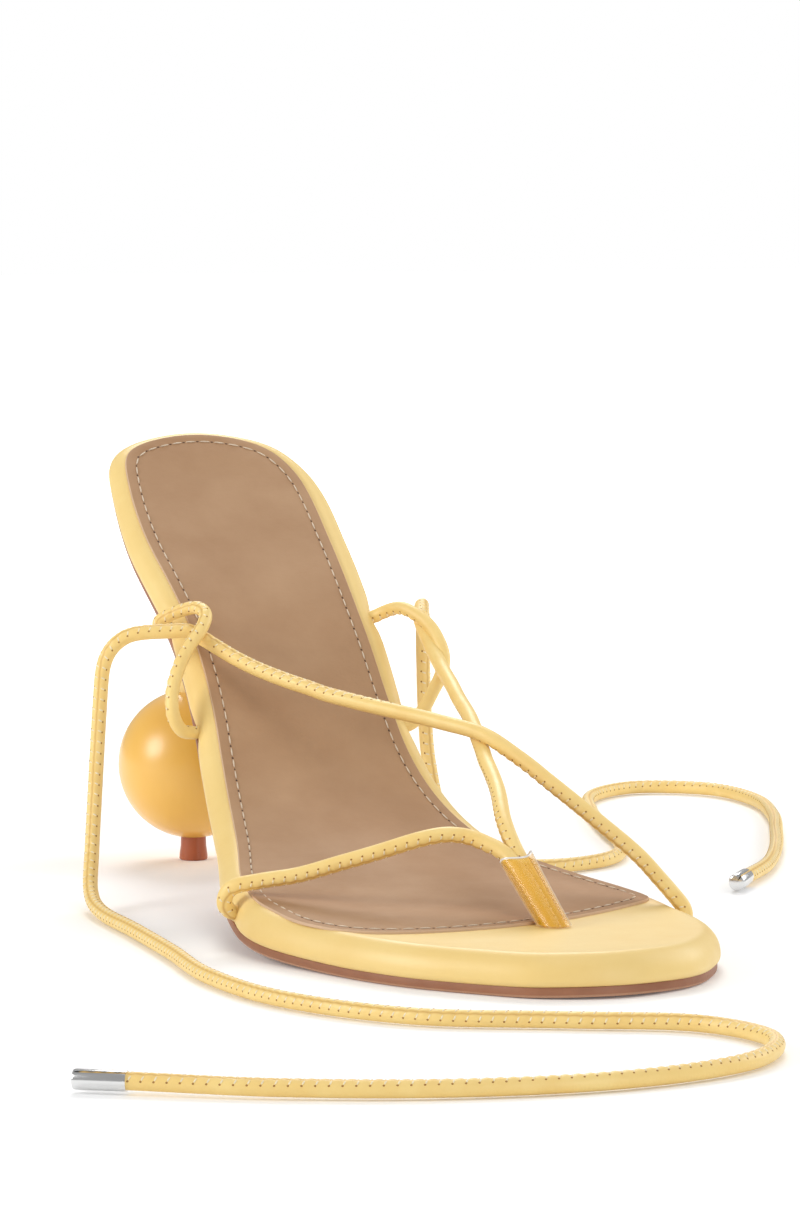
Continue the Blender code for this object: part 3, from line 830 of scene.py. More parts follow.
def beads(name: str, places: Iterable[Matrix], finish: PlainFinish) -> bpy.types.Object:
    """One piece of many small beads: threads, or dark beads of painted shade in needle holes.

    Args:
        name: the piece's name.
        places: a matrix for each bead.
        finish: the piece's finish.

    Returns:
        The piece.
    """
    seed = bmesh.new()
    upright = Matrix.Rotation(math.pi / 2, 4, "Y")
    bmesh.ops.create_uvsphere(seed, u_segments=BEAD_SIDES, v_segments=BEAD_RINGS, radius=1.0, matrix=upright)
    bead = bpy.data.meshes.new("bead")
    seed.to_mesh(bead)
    seed.free()
    work = bmesh.new()
    for place in places:
        shape = bead.copy()
        shape.transform(place)
        work.from_mesh(shape)
        bpy.data.meshes.remove(shape)
    bpy.data.meshes.remove(bead)
    return add_piece(name, work, finish, sharp=180.0)


@dataclass
class Studio:
    """Camera, soft lights and the pale floor."""

    target: tuple[float, float, float] = (-6.095, -30.74, 67.08)
    azimuth: float = -22.04
    elevation: float = 4.92
    distance: float = 1004.0
    focal_pixels: float = 5064.6
    image_height: int = 1209
    sensor: float = 36.0
    clip_start: float = 0.05
    floor_half: float = 6.0
    floor_drop: float = 0.05
    sky_light: float = 0.39
    lit_place: tuple[float, float, float] = (0.0, 0.0, 0.05)
    lights: tuple[LightRow, ...] = (
        LightRow("key_left", (-1.10, 0.05, 0.50), 0.6, 7.2),
        LightRow("front_low", (0.40, -1.60, 0.50), 1.1, 7.2),
        LightRow("right_fill", (1.20, 0.10, 0.65), 0.9, 5.8),
        LightRow("back_high", (0.45, 1.20, 1.20), 0.8, 10.6),
        LightRow("overhead", (0.0, -0.45, 1.75), 1.2, 5.4),
    )

    def camera(self) -> None:
        """Set the camera at the viewing angle."""
        turn, lift = math.radians(self.azimuth), math.radians(self.elevation)
        back = Vector((math.sin(turn) * math.cos(lift), -math.cos(turn) * math.cos(lift), math.sin(lift)))
        right = Vector((math.cos(turn), math.sin(turn), 0.0))
        data = bpy.data.cameras.new("camera")
        data.sensor_width = self.sensor
        data.lens = self.focal_pixels * self.sensor / self.image_height
        data.clip_start = self.clip_start
        view = added("camera", data)
        place = (Vector(self.target) + back * self.distance) * MM
        axes = Matrix((right, back.cross(right), back)).transposed()
        view.matrix_world = Matrix.Translation(place) @ axes.to_4x4()
        bpy.context.scene.camera = view

    def floor(self) -> None:
        """Lay the pale floor."""
        work = bmesh.new()
        bmesh.ops.create_grid(work, x_segments=1, y_segments=1, size=self.floor_half)
        bmesh.ops.translate(work, verts=work.verts, vec=(0.0, 0.0, -self.floor_drop * MM))
        meshed("floor", work, PALE_FLOOR)

    def sky(self) -> None:
        """Surround the shoe with even white light."""
        world = bpy.data.worlds.new("studio")
        world.use_nodes = True
        bpy.context.scene.world = world
        sheet = NodeSheet(world.node_tree)
        seen = sheet.add("ShaderNodeLightPath").outputs["Is Camera Ray"]
        strength = sheet.spread(seen, self.sky_light, 1.0)
        sheet.feed(world.node_tree.nodes["Background"], {"Color": WHITE, "Strength": strength})

    def softboxes(self) -> None:
        """Add the round soft lights, which all face the shoe."""
        for row in self.lights:
            data = bpy.data.lights.new(row.name, "AREA")
            data.shape = "DISK"
            data.size = row.size
            data.energy = row.power
            turn = (Vector(self.lit_place) - Vector(row.place)).to_track_quat("-Z", "Y").to_matrix()
            added(row.name, data).matrix_world = Matrix.Translation(row.place) @ turn.to_4x4()

    def build(self) -> None:
        """Set up the whole studio."""
        self.camera()
        self.floor()
        self.sky()
        self.softboxes()
        bpy.context.scene.view_settings.view_transform = "Standard"


@dataclass
class BentPlate:
    """A flat plate cut to an outline, rounded at its rims, sliced and bent on the last."""

    last: Last
    outline: np.ndarray
    thickness: float
    slice_along: float = 3.0
    slice_across: float = 5.0
    along_margins: tuple[float, float] = (1.5, 0.5)
    across_margins: tuple[float, float] = (4.0, 2.0)
    flat_from: float = 0.999

    def cut(self) -> BMesh:
        """Cut the plate flat, as a prism.

        Returns:
            The prism from height 0 to its thickness.
        """
        work = bmesh.new()
        rim = [work.verts.new((across, along, 0.0)) for across, along in self.outline]
        base = bmesh.ops.contextual_create(work, geom=rim)["faces"]
        raised = bmesh.ops.extrude_face_region(work, geom=base, use_keep_orig=True)["geom"]
        bmesh.ops.translate(work, verts=picked(raised, BMVert), vec=(0.0, 0.0, self.thickness))
        bmesh.ops.recalc_face_normals(work, faces=work.faces)
        return work

    def round_rim(self, work: BMesh, height: float, offset: float, segments: int) -> None:
        """Round the rim at one height.

        Args:
            work: the flat plate.
            height: height of the rim.
            offset: width of the rounding.
            segments: how many steps it has.
        """
        rim = [edge for edge in work.edges if all(abs(vert.co.z - height) < 1e-4 for vert in edge.verts)]
        bmesh.ops.bevel(work, geom=rim, offset=offset, offset_type="OFFSET", segments=segments, profile=0.5,
                        affect="EDGES", material=-1, clamp_overlap=False)

    def slice(self, work: BMesh) -> None:
        """Slice the flat faces so that they can bend on the last.

        Args:
            work: the flat plate.
        """
        low, high = self.outline.min(axis=0), self.outline.max(axis=0)
        for axis, step, (before, after) in (
            (1, self.slice_along, self.along_margins), (0, self.slice_across, self.across_margins),
        ):
            normal = Vector(np.eye(3)[axis])
            for place in np.arange(low[axis] + before, high[axis] - after, step):
                flat = [face for face in work.faces if abs(face.normal.z) > self.flat_from]
                edges = {edge for face in flat for edge in face.edges}
                verts = {vert for face in flat for vert in face.verts}
                bmesh.ops.bisect_plane(work, geom=[*verts, *edges, *flat], dist=1e-5, plane_co=normal * place,
                                       plane_no=normal)

    def distance_to(self, work: BMesh, line: np.ndarray) -> np.ndarray:
        """Distance of each of the flat plate's points from a dense line (across, along)."""
        return np.array([np.min(np.hypot(*(line - vert.co[:2]).T)) for vert in work.verts])

    def bend(self, work: BMesh, height: Callable[[np.ndarray, np.ndarray], np.ndarray]) -> None:
        """Bend the flat plate on the last.

        Args:
            work: the flat plate in millimetres, which becomes metres.
            height: takes distances along and shares of the thickness, and gives heights over the footbed top.
        """
        def bent(points: np.ndarray) -> np.ndarray:
            """Places of the flat plate's points on the last."""
            lifted = np.column_stack([points[:, :2], height(points[:, 1], points[:, 2] / self.thickness)])
            return self.last.place(lifted) * MM

        move_points(work, bent)


@dataclass
class RolledCord:
    """Leather cord rolled round a core, with a sewn seam along it."""

    name: str
    line: np.ndarray
    seam: tuple[SeamRow, ...]
    radius: float = 1.55
    sleeved: tuple[float, float] | None = None
    sides: int = 28
    even_share: float = 0.55
    wanted_pitch: float = 2.25
    per_stitch: int = 6
    line_eases: int = 8
    seam_eases: int = 12
    slant: float = 0.16
    ridge: float = 0.14
    ridge_turn: float = 0.62
    pinch: float = 0.07
    pinch_turn: float = 0.75
    crease: float = 0.12
    crease_turn: float = 0.10
    # painted shade: in the seam's crease, and inside the sleeve towards the bottom
    crease_shade: float = 0.8
    shade_turn: float = 0.13
    sleeve_shade: float = 0.2
    hole_turn: float = 0.92
    hole_reach: float = 0.22
    hole_half: tuple[float, float] = (0.19, 0.06)
    thread_ends: tuple[tuple[float, float], ...] = ((0.10, 0.88), (0.45, 0.28))
    thread_crown: float = 0.58
    thread_lift: float = 0.06
    thread_half: tuple[float, float] = (0.17, 0.13)

    def __post_init__(self) -> None:
        """Work out the stations: points, runs and the directions that the seam faces."""
        length = distances(self.line)[-1]
        self.pitch = length / round(length / self.wanted_pitch)
        points = even_points(self.line, self.pitch / self.per_stitch)
        for _ in range(self.line_eases):
            points[1:-1] = (points[:-2] + 2 * points[1:-1] + points[2:]) / 4
        self.points = points
        self.reach = distances(points)
        self.runs = unit(np.gradient(points, axis=0))
        shares = self.reach / self.reach[-1]
        hints = np.stack([column(self.seam, axis, shares) for axis in ("x", "y", "z")], axis=1)
        self.faces_to = self.square_to_run(hints)
        for _ in range(self.seam_eases):
            eased = self.faces_to.copy()
            eased[1:-1] += self.faces_to[:-2] + self.faces_to[2:]
            self.faces_to = self.square_to_run(eased)

    def square_to_run(self, vectors: np.ndarray) -> np.ndarray:
        """Directions made square to the cord's run at each station."""
        return unit(vectors - self.runs * np.sum(vectors * self.runs, axis=1)[:, None])

    def relief(self, turn: np.ndarray, reach: np.ndarray) -> np.ndarray:
        """Radius of the cord's surface.

        Args:
            turn: angles from the seam, in radians.
            reach: distances along the cord.

        Returns:
            The radius at each place: the leather bulges between the stitches and meets in a crease.
        """
        wave = np.cos(FULL_TURN * (reach / self.pitch + self.slant * turn))
        bulge = self.ridge * (0.5 - 0.5 * wave) * bell(turn, self.ridge_turn)
        pinch = self.pinch * (0.5 + 0.5 * wave) * bell(turn, self.pinch_turn)
        return self.radius + bulge - pinch - self.crease * bell(turn, self.crease_turn)

    def surface(self, reach: np.ndarray, turn: np.ndarray, lift: float = 0.0) -> np.ndarray:
        """Places on the cord's surface.

        Args:
            reach: distances along the cord.
            turn: angles from the seam.
            lift: distance over the surface.

        Returns:
            Rows of x, y and z in millimetres.
        """
        run, seam, middle = (sampled(reach, self.reach, part) for part in (self.runs, self.faces_to, self.points))
        run, seam = unit(run), unit(seam)
        out = np.cos(turn)[:, None] * seam + np.sin(turn)[:, None] * np.cross(run, seam)
        return middle + out * (self.relief(turn, reach) + lift)[:, None]

    def out_of(self, reach: np.ndarray, turn: np.ndarray) -> np.ndarray:
        """Directions out of the cord's surface."""
        return unit(self.surface(reach, turn, 1.0) - self.surface(reach, turn))

    def shades(self, places: np.ndarray, reach: np.ndarray, turn: np.ndarray) -> np.ndarray:
        """Depth of the painted shade: in the seam's crease, and inside the sleeve more and more downwards.

        Args:
            places: points of the surface.
            reach: their distances along the cord.
            turn: their angles from the seam.

        Returns:
            The mask's value at each point.
        """
        depth = self.crease_shade * bell(turn, self.shade_turn)
        if self.sleeved:
            low, high = self.sleeved
            share, height = reach / self.reach[-1], places[:, 2]
            inside = (share > low) & (share < high)
            fall = (height[inside].max() - height) / np.ptp(height[inside])
            shaded = self.sleeve_shade + (1.0 - self.sleeve_shade) * fall
            depth = np.where(inside, np.maximum(depth, shaded), depth)
        return depth

    def build(self, node: str) -> bpy.types.Object:
        """Roll a flat grid into the cord, with its points closer together at the seam.

        Args:
            node: name of the solid that the cord stands for.

        Returns:
            The cord as a closed piece.
        """
        work = bmesh.new()
        work.loops.layers.uv.new("cord")
        bmesh.ops.create_grid(work, x_segments=self.sides, y_segments=len(self.points) - 1, size=1.0, calc_uvs=True)
        flat = np.array([vert.co for vert in work.verts])
        across, along = (flat / np.abs(flat).max(axis=0, initial=1e-9))[:, :2].T
        turn = math.pi * (self.even_share * across + (1.0 - self.even_share) * across**3)
        reach = (along + 1.0) / 2 * self.reach[-1]
        places = self.surface(reach, turn)
        # painted shade in the seam's crease and low inside the sleeve
        mark_edges_and_shade(work, self.shades(places, reach, turn))
        move_points(work, lambda points: places * MM)
        bmesh.ops.remove_doubles(work, verts=work.verts, dist=1e-6)
        fill_ends(work)
        return add_piece(self.name, work, CORD_LEATHER, node, sharp=60.0)

    def stitch_places(self) -> tuple[list[Matrix], list[Matrix]]:
        """Where the stitches and the needle holes sit.

        Returns:
            One matrix for each thread, and one for each hole's dark bead of painted shade, in metres.
        """
        threads: list[Matrix] = []
        holes: list[Matrix] = []
        count = round(self.reach[-1] / self.pitch)
        for way in (1.0, -1.0):
            spots = self.pitch * (np.arange(1, count - 1) - way * self.slant * self.hole_turn)
            turn = np.full_like(spots, way * self.hole_turn)
            near, far = (
                self.surface(spots + way * along, share * turn, self.thread_lift) for along, share in self.thread_ends
            )
            crown = self.out_of(spots, self.thread_crown * turn)
            threads += [laid(a, b, up, *self.thread_half) for a, b, up in zip(near, far, crown)]
            hole, out = self.surface(spots, turn), self.out_of(spots, turn)
            half = sampled(spots, self.reach, self.runs) * self.hole_reach
            holes += [laid(h - r, h + r, up, *self.hole_half) for h, r, up in zip(hole, half, out)]
        return threads, holes


@dataclass
class AnkleTie:
    """A free ankle tie: it leaves the strap, hangs down and lies on the floor, with a metal tip on its end."""

    side: Side
    lead: tuple[RouteRow, ...]
    route: tuple[FloorRow, ...]
    seam: tuple[SeamRow, ...]
    diameter: float = 3.2
    tip_radius: float = 2.1
    tip_length: float = 9.0
    tip_lap: float = 0.6
    tip_wall: float = 0.3
    tip_round: float = 0.5
    tip_corner: float = 0.16
    tip_gap: float = 0.22
    tip_turn: float = 40.0
    tip_steps: int = 40
    in_tip: float = 7.5
    path_step: float = 3.0

    def level_run(self) -> Vector:
        """Direction of the tie's end, made level."""
        run = np.array(self.route[-1]) - np.array(self.route[-2])
        return Vector((run[0], run[1], 0.0)).normalized()

    def line(self, last: Last) -> np.ndarray:
        """Centre line on the last and the floor, from under the loop to the tip, and on into the tip."""
        hidden_end = np.array(Vector(self.route[-1]) + self.level_run() * self.in_tip)
        return np.vstack([smooth_curve([*last.place(self.lead), *self.route]), hidden_end])

    def build_tip(self) -> bpy.types.Object:
        """Spin the rolled metal tip, with its slit on the upper side, and its closed end.

        Returns:
            The tip.
        """
        level = self.level_run()
        inner = self.tip_radius - self.tip_wall
        reach = self.tip_length + self.tip_lap - self.tip_wall
        section = (
            (inner, 0.0), (inner, reach - self.tip_round), (inner - self.tip_corner, reach - self.tip_corner),
            (inner - self.tip_round, reach), (AXIS_RADIUS, reach),
        )
        work = spun(section, self.tip_steps, FULL_TURN - self.tip_gap)
        bmesh.ops.recalc_face_normals(work, faces=work.faces)
        bmesh.ops.solidify(work, geom=work.faces[:], thickness=self.tip_wall)
        across = Vector((0.0, 0.0, 1.0)).cross(level)
        turn = Matrix((level.cross(across), across, level)).transposed()
        turn = turn @ Matrix.Rotation(math.radians(self.tip_turn), 3, "Z")
        bmesh.ops.rotate(work, verts=work.verts, cent=(0.0, 0.0, 0.0), matrix=turn)
        settle(work, Vector(self.route[-1]) - level * self.tip_lap)
        node = f"tie_tip_{self.side.value}"
        return add_piece(f"{node}_metal", work, BRIGHT_METAL, node, sharp=35.0)

    def build(self, last: Last) -> None:
        """Build the tie with its stitches and tip.

        Args:
            last: the form that its first points lie on.
        """
        name = f"tie_{self.side.value}"
        cord = RolledCord(f"{name}_cord", self.line(last), self.seam)
        tube = cord.build(name)
        threads, holes = cord.stitch_places()
        sewn = beads(f"{name}_threads", threads, PALE_THREAD)
        # dark beads in the needle holes: painted shade
        pricks = beads(f"{name}_needle_hole_shade", holes, CORD_HOLE_PAINTED_SHADE)
        tip = self.build_tip()


TIE_LATERAL = AnkleTie(
    Side.LATERAL,
    rows(
        RouteRow, (-19.2, 78.0, 5.0), (-22.6, 74.4, 4.8),
    ),
    rows(
        FloorRow, (-30.0, 40.4, 56.5), (-35.1, 42.3, 56.2), (-38.0, 43.5, 55.4), (-40.4, 44.4, 53.5),
        (-42.0, 45.0, 50.8), (-42.7, 45.3, 47.6), (-43.1, 45.3, 43.0), (-43.8, 44.9, 35.0), (-45.2, 43.0, 23.0),
        (-47.4, 38.6, 11.5), (-50.6, 30.0, 4.2), (-53.2, 16.0, 2.0), (-54.8, -10.0, 1.75), (-57.4, -40.0, 1.75),
        (-60.6, -70.0, 1.75), (-57.0, -100.0, 1.75), (-42.0, -126.0, 1.75), (-18.0, -140.0, 1.75),
        (2.0, -152.0, 1.75), (7.0, -172.0, 1.75), (-6.0, -190.0, 1.75), (-32.0, -198.0, 1.75),
        (-62.0, -195.0, 1.75), (-90.0, -184.0, 1.9), (-112.0, -170.0, 2.2),
    ),
    rows(
        SeamRow, (0.0, -0.2, -0.5, 0.8), (0.03, -0.1, -0.4, 0.9), (0.1, -0.6, -0.7, 0.3), (0.3, -0.6, -0.3, 0.7),
        (0.6, -0.2, -0.7, 0.6), (0.8, 0.0, 0.3, 0.9), (1.0, -0.2, -0.5, 0.8),
    ),
)
TIE_MEDIAL = AnkleTie(
    Side.MEDIAL,
    rows(
        RouteRow, (29.2, 84.0, 5.6), (29.4, 81.0, 5.0), (30.4, 72.5, 3.4),
    ),
    rows(
        FloorRow, (30.0, 46.5, 58.0), (32.2, 51.5, 58.9), (33.6, 54.6, 58.7), (34.8, 57.4, 57.1),
        (35.7, 59.3, 54.4), (36.0, 60.1, 51.0), (36.2, 60.3, 46.0), (36.4, 60.0, 36.0), (36.8, 58.4, 24.0),
        (38.6, 55.2, 12.5), (43.0, 50.4, 5.2), (51.0, 46.2, 2.3), (63.0, 44.6, 1.75), (78.0, 52.0, 1.75),
        (89.0, 72.0, 1.75), (97.0, 98.0, 1.75), (107.0, 128.0, 1.75), (119.0, 154.0, 1.75), (136.0, 166.0, 1.75),
        (151.0, 156.0, 1.75), (152.0, 132.0, 1.75), (143.0, 104.0, 1.75), (131.0, 78.0, 1.75), (118.0, 52.0, 1.75),
        (104.0, 28.0, 1.9), (90.0, 10.0, 2.2),
    ),
    rows(
        SeamRow, (0.0, 0.3, 0.8, -0.3), (0.05, 0.6, 0.5, 0.5), (0.1, 0.2, -0.9, 0.2), (0.3, -0.4, -0.5, 0.7),
        (0.6, 0.2, -0.4, 0.8), (0.8, -0.5, -0.3, 0.8), (1.0, 0.3, -0.6, 0.7),
    ),
)


@dataclass
class Strap:
    """One strap or loop of the upper, and where it enters the clear sleeve."""

    name: str
    route: tuple[RouteRow, ...]
    seam: tuple[SeamRow, ...]
    radius: float = 1.55
    sleeve_along: float | None = None

    def cord(self, last: Last) -> RolledCord:
        """The strap as a cord on the last.

        Args:
            last: the form that it lies on.

        Returns:
            The cord.
        """
        flat = smooth_curve(self.route)
        line = last.place(flat)
        sleeved = None
        if self.sleeve_along:
            inside = (distances(line) / distances(line)[-1])[flat[:, 1] > self.sleeve_along]
            sleeved = (float(inside.min()), float(inside.max()) + 1e-6)
        return RolledCord(self.name, line, self.seam, self.radius, sleeved)


STRAPS = (
    Strap(
        "toe_strap",
        rows(
            RouteRow, (-34.0, 161.0, -3.6), (-38.2, 161.0, -3.9), (-41.0, 161.3, -2.0), (-40.4, 162.1, 1.6),
            (-35.4, 164.5, 3.5), (-28.7, 168.5, 5.4), (-21.8, 172.5, 8.3), (-14.8, 176.5, 11.2),
            (-7.9, 180.0, 14.0), (-3.2, 181.8, 15.1), (0.6, 183.4, 14.9), (3.4, 186.2, 14.0), (6.4, 190.5, 12.1),
            (8.75, 197.3, 6.6), (10.15, 204.2, 0.2), (10.95, 208.2, -3.6),
        ),
        rows(
            SeamRow, (0.0, -0.5, -0.6, -0.3), (0.15, -0.24, -0.6, -0.65), (0.6, -0.24, -0.6, -0.65),
            (0.72, 0.0, -0.4, -0.8), (0.82, 0.8, -0.3, -0.4), (1.0, 0.9, -0.35, 0.0),
        ),
        sleeve_along=192.6,
    ),
    Strap(
        "medial_strap",
        rows(
            RouteRow, (12.55, 207.8, -3.8), (11.75, 203.8, -0.2), (10.35, 196.9, 6.1), (8.6, 190.2, 12.5),
            (9.3, 182.0, 16.8), (13.3, 168.0, 20.3), (17.1, 152.4, 21.8), (20.0, 138.2, 22.2), (23.1, 120.0, 20.6),
            (26.5, 101.5, 13.6), (28.7, 90.0, 7.4), (29.3, 82.0, 5.2),
        ),
        rows(
            SeamRow, (0.0, -0.9, -0.35, 0.0), (0.14, -0.85, -0.3, 0.1), (0.25, -0.9, 0.1, 0.0),
            (0.45, -0.3, 0.8, -0.3), (1.0, 0.3, 0.8, -0.3),
        ),
        sleeve_along=192.6,
    ),
    Strap(
        "lateral_strap",
        rows(
            RouteRow, (39.0, 191.0, -3.8), (42.8, 191.0, -4.2), (44.9, 190.9, -2.5), (44.8, 190.4, -0.5),
            (43.8, 189.2, 1.2), (42.2, 186.0, 3.9), (39.2, 180.0, 8.5), (34.4, 170.2, 13.6), (29.2, 161.0, 18.4),
            (24.0, 151.0, 22.8), (19.2, 141.0, 25.3), (13.5, 129.0, 24.1), (7.9, 118.0, 21.6), (2.2, 108.2, 18.2),
            (-3.5, 99.5, 14.1), (-7.8, 94.2, 11.0), (-12.1, 88.5, 8.1), (-15.8, 83.2, 6.2), (-19.2, 78.0, 5.0),
            (-20.6, 76.5, 4.9),
        ),
        rows(
            SeamRow, (0.0, -0.7, -0.5, -0.4), (0.3, -0.67, -0.42, -0.55), (0.45, -0.2, 0.3, -0.8),
            (0.55, 0.3, 0.8, -0.2), (0.66, 0.3, 0.6, 0.7), (0.76, -0.15, -0.35, 0.9), (1.0, -0.2, -0.5, 0.8),
        ),
    ),
    Strap(
        "medial_loop",
        rows(
            RouteRow, (18.4, 65.0, -2.2), (22.8, 65.0, -2.0), (25.2, 66.2, 0.8), (26.8, 69.0, 4.2),
            (28.4, 72.5, 5.7), (30.1, 76.8, 6.5), (30.8, 81.8, 6.6), (30.8, 86.0, 5.8), (29.6, 89.0, 3.8),
            (27.6, 91.5, 2.0), (25.2, 94.5, 0.2), (22.0, 97.0, -2.0), (17.6, 97.0, -2.2),
        ),
        rows(
            SeamRow, (0.0, 0.0, -0.6, -0.75), (0.35, 0.1, -0.5, -0.8), (0.55, 0.5, 0.7, -0.3),
            (1.0, 0.5, 0.7, -0.3),
        ),
        1.4,
    ),
    Strap(
        "lateral_loop",
        rows(
            RouteRow, (-20.6, 94.5, -4.0), (-25.2, 94.8, -4.3), (-28.4, 95.0, -3.2), (-30.3, 92.6, -0.5),
            (-29.9, 88.5, 1.7), (-27.8, 84.0, 4.2), (-25.0, 80.0, 5.8), (-21.4, 76.4, 7.8), (-19.6, 72.8, 8.3),
            (-20.2, 69.2, 6.8), (-23.2, 66.8, 3.2), (-26.2, 65.6, -0.6), (-24.4, 65.0, -3.0), (-19.2, 65.0, -3.0),
        ),
        rows(
            SeamRow, (0.0, 0.4, -0.3, 0.8), (0.15, -0.3, 0.4, 0.6), (0.35, -0.9, 0.1, 0.1), (0.55, -0.8, -0.3, 0.4),
            (0.72, -0.37, -0.8, 0.4), (1.0, -0.4, -0.85, 0.3),
        ),
        1.4,
    ),
)


@dataclass
class Upper:
    """The straps and loops that are the sandal's upper, with their stitches."""

    last: Last
    straps: tuple[Strap, ...] = STRAPS

    def build(self) -> None:
        """Build every strap, then the threads of all and the painted shade of their needle holes."""
        threads: list[Matrix] = []
        holes: list[Matrix] = []
        for strap in self.straps:
            cord = strap.cord(self.last)
            cord.build("upper_straps")
            sewn, pricked = cord.stitch_places()
            threads += sewn
            holes += pricked
        beads("upper_threads", threads, PALE_THREAD)
        beads("upper_needle_hole_shade", holes, CORD_HOLE_PAINTED_SHADE)


@dataclass
class Sole:
    """Wrapped footbed board and the thin outsole under it."""

    last: Last
    flat_thickness: float = 5.0
    top_round: float = 4.0
    top_steps: int = 9
    foot_round: float = 0.9
    foot_steps: int = 3
    rim_rings: tuple[float, ...] = (0.6, 0.9, 1.2, 1.6)
    rim_puff: float = 0.2
    rim_inset: float = 3.1
    rim_width: float = 1.5
    level_from: float = 0.99
    outsole_flat: float = 2.0
    outsole_inset: float = 0.6
    outsole_overlap: float = 0.1
    outsole_foot_round: float = 0.6
    outsole_foot_steps: int = 3
    outsole_top_round: float = 0.25
    outsole_top_steps: int = 2
    edge_shade: float = 0.7
    edge_height: float = 0.5
    edge_width: float = 0.75
    wave: float = 0.10
    wave_scale: float = 45.0
    pull: float = 0.8
    pull_width: float = 4.0
    slots: tuple[RouteRow, ...] = rows(
        RouteRow, (-40.0, 161.4, -3.2), (44.8, 191.0, -2.6), (-25.4, 94.8, -3.8), (-24.8, 65.2, -2.6),
        (23.4, 65.0, -1.8), (23.2, 96.4, -1.8),
    )

    def board_bottom(self, along: np.ndarray) -> np.ndarray:
        """Height of the board's underside."""
        return -column(self.last.boards, "board", along) - GAP

    def build_footbed(self) -> None:
        """Cut, round and bend the footbed board, pull its leather in at the slots and let it wander a little."""
        plate = BentPlate(self.last, self.last.outline(), self.flat_thickness)
        work = plate.cut()
        plate.round_rim(work, self.flat_thickness, self.top_round, self.top_steps)
        plate.round_rim(work, 0.0, self.foot_round, self.foot_steps)
        for width in self.rim_rings:
            level = (face for face in work.faces if face.normal.z > self.level_from)
            top = max(level, key=lambda face: face.calc_area())
            bmesh.ops.inset_region(work, faces=[top], thickness=width, use_even_offset=True, use_boundary=True)
        plate.slice(work)
        puff = self.rim_puff * bell(plate.distance_to(work, plate.outline) - self.rim_inset, self.rim_width)
        plate.bend(work, lambda along, share: self.board_bottom(along) * (1.0 - share) + puff * share)
        slots = [Vector(slot) for slot in self.last.place(np.array(self.slots)) * MM]
        for vert in work.verts:
            wander = noise.noise_vector(vert.co * self.wave_scale)
            for slot in slots:
                near = bell((vert.co - slot).length, self.pull_width * MM)
                vert.co.x -= math.copysign(self.pull * MM * near, slot.x)
            vert.co += wander * self.wave * MM
        add_piece("footbed_leather", work, WRAP_LEATHER, "footbed")

    def outsole_height(self, along: np.ndarray, share: np.ndarray) -> np.ndarray:
        """Heights of the outsole's points, by distance along and share of the thickness."""
        thickness = column(self.last.boards, "outsole", along) + self.outsole_overlap
        return self.board_bottom(along) + self.outsole_overlap - thickness * (1.0 - share)

    def build_outsole(self) -> None:
        """Cut and bend the outsole, and make its lower edge paler."""
        outline = inset_outline(self.last.outline(), self.outsole_inset)
        plate = BentPlate(self.last, outline, self.outsole_flat)
        work = plate.cut()
        plate.round_rim(work, 0.0, self.outsole_foot_round, self.outsole_foot_steps)
        plate.round_rim(work, self.outsole_flat, self.outsole_top_round, self.outsole_top_steps)
        plate.slice(work)
        low = np.array([vert.co.z for vert in work.verts]) < self.edge_height
        outer = plate.distance_to(work, even_points(outline, DENSE_STEP)) < self.edge_width
        mark_edges_and_shade(work, np.where(low & outer, self.edge_shade, 0.0))
        plate.bend(work, self.outsole_height)
        add_piece("outsole_leather", work, SOLE_LEATHER, "outsole")

    def build(self) -> None:
        """Build both."""
        self.build_footbed()
        self.build_outsole()


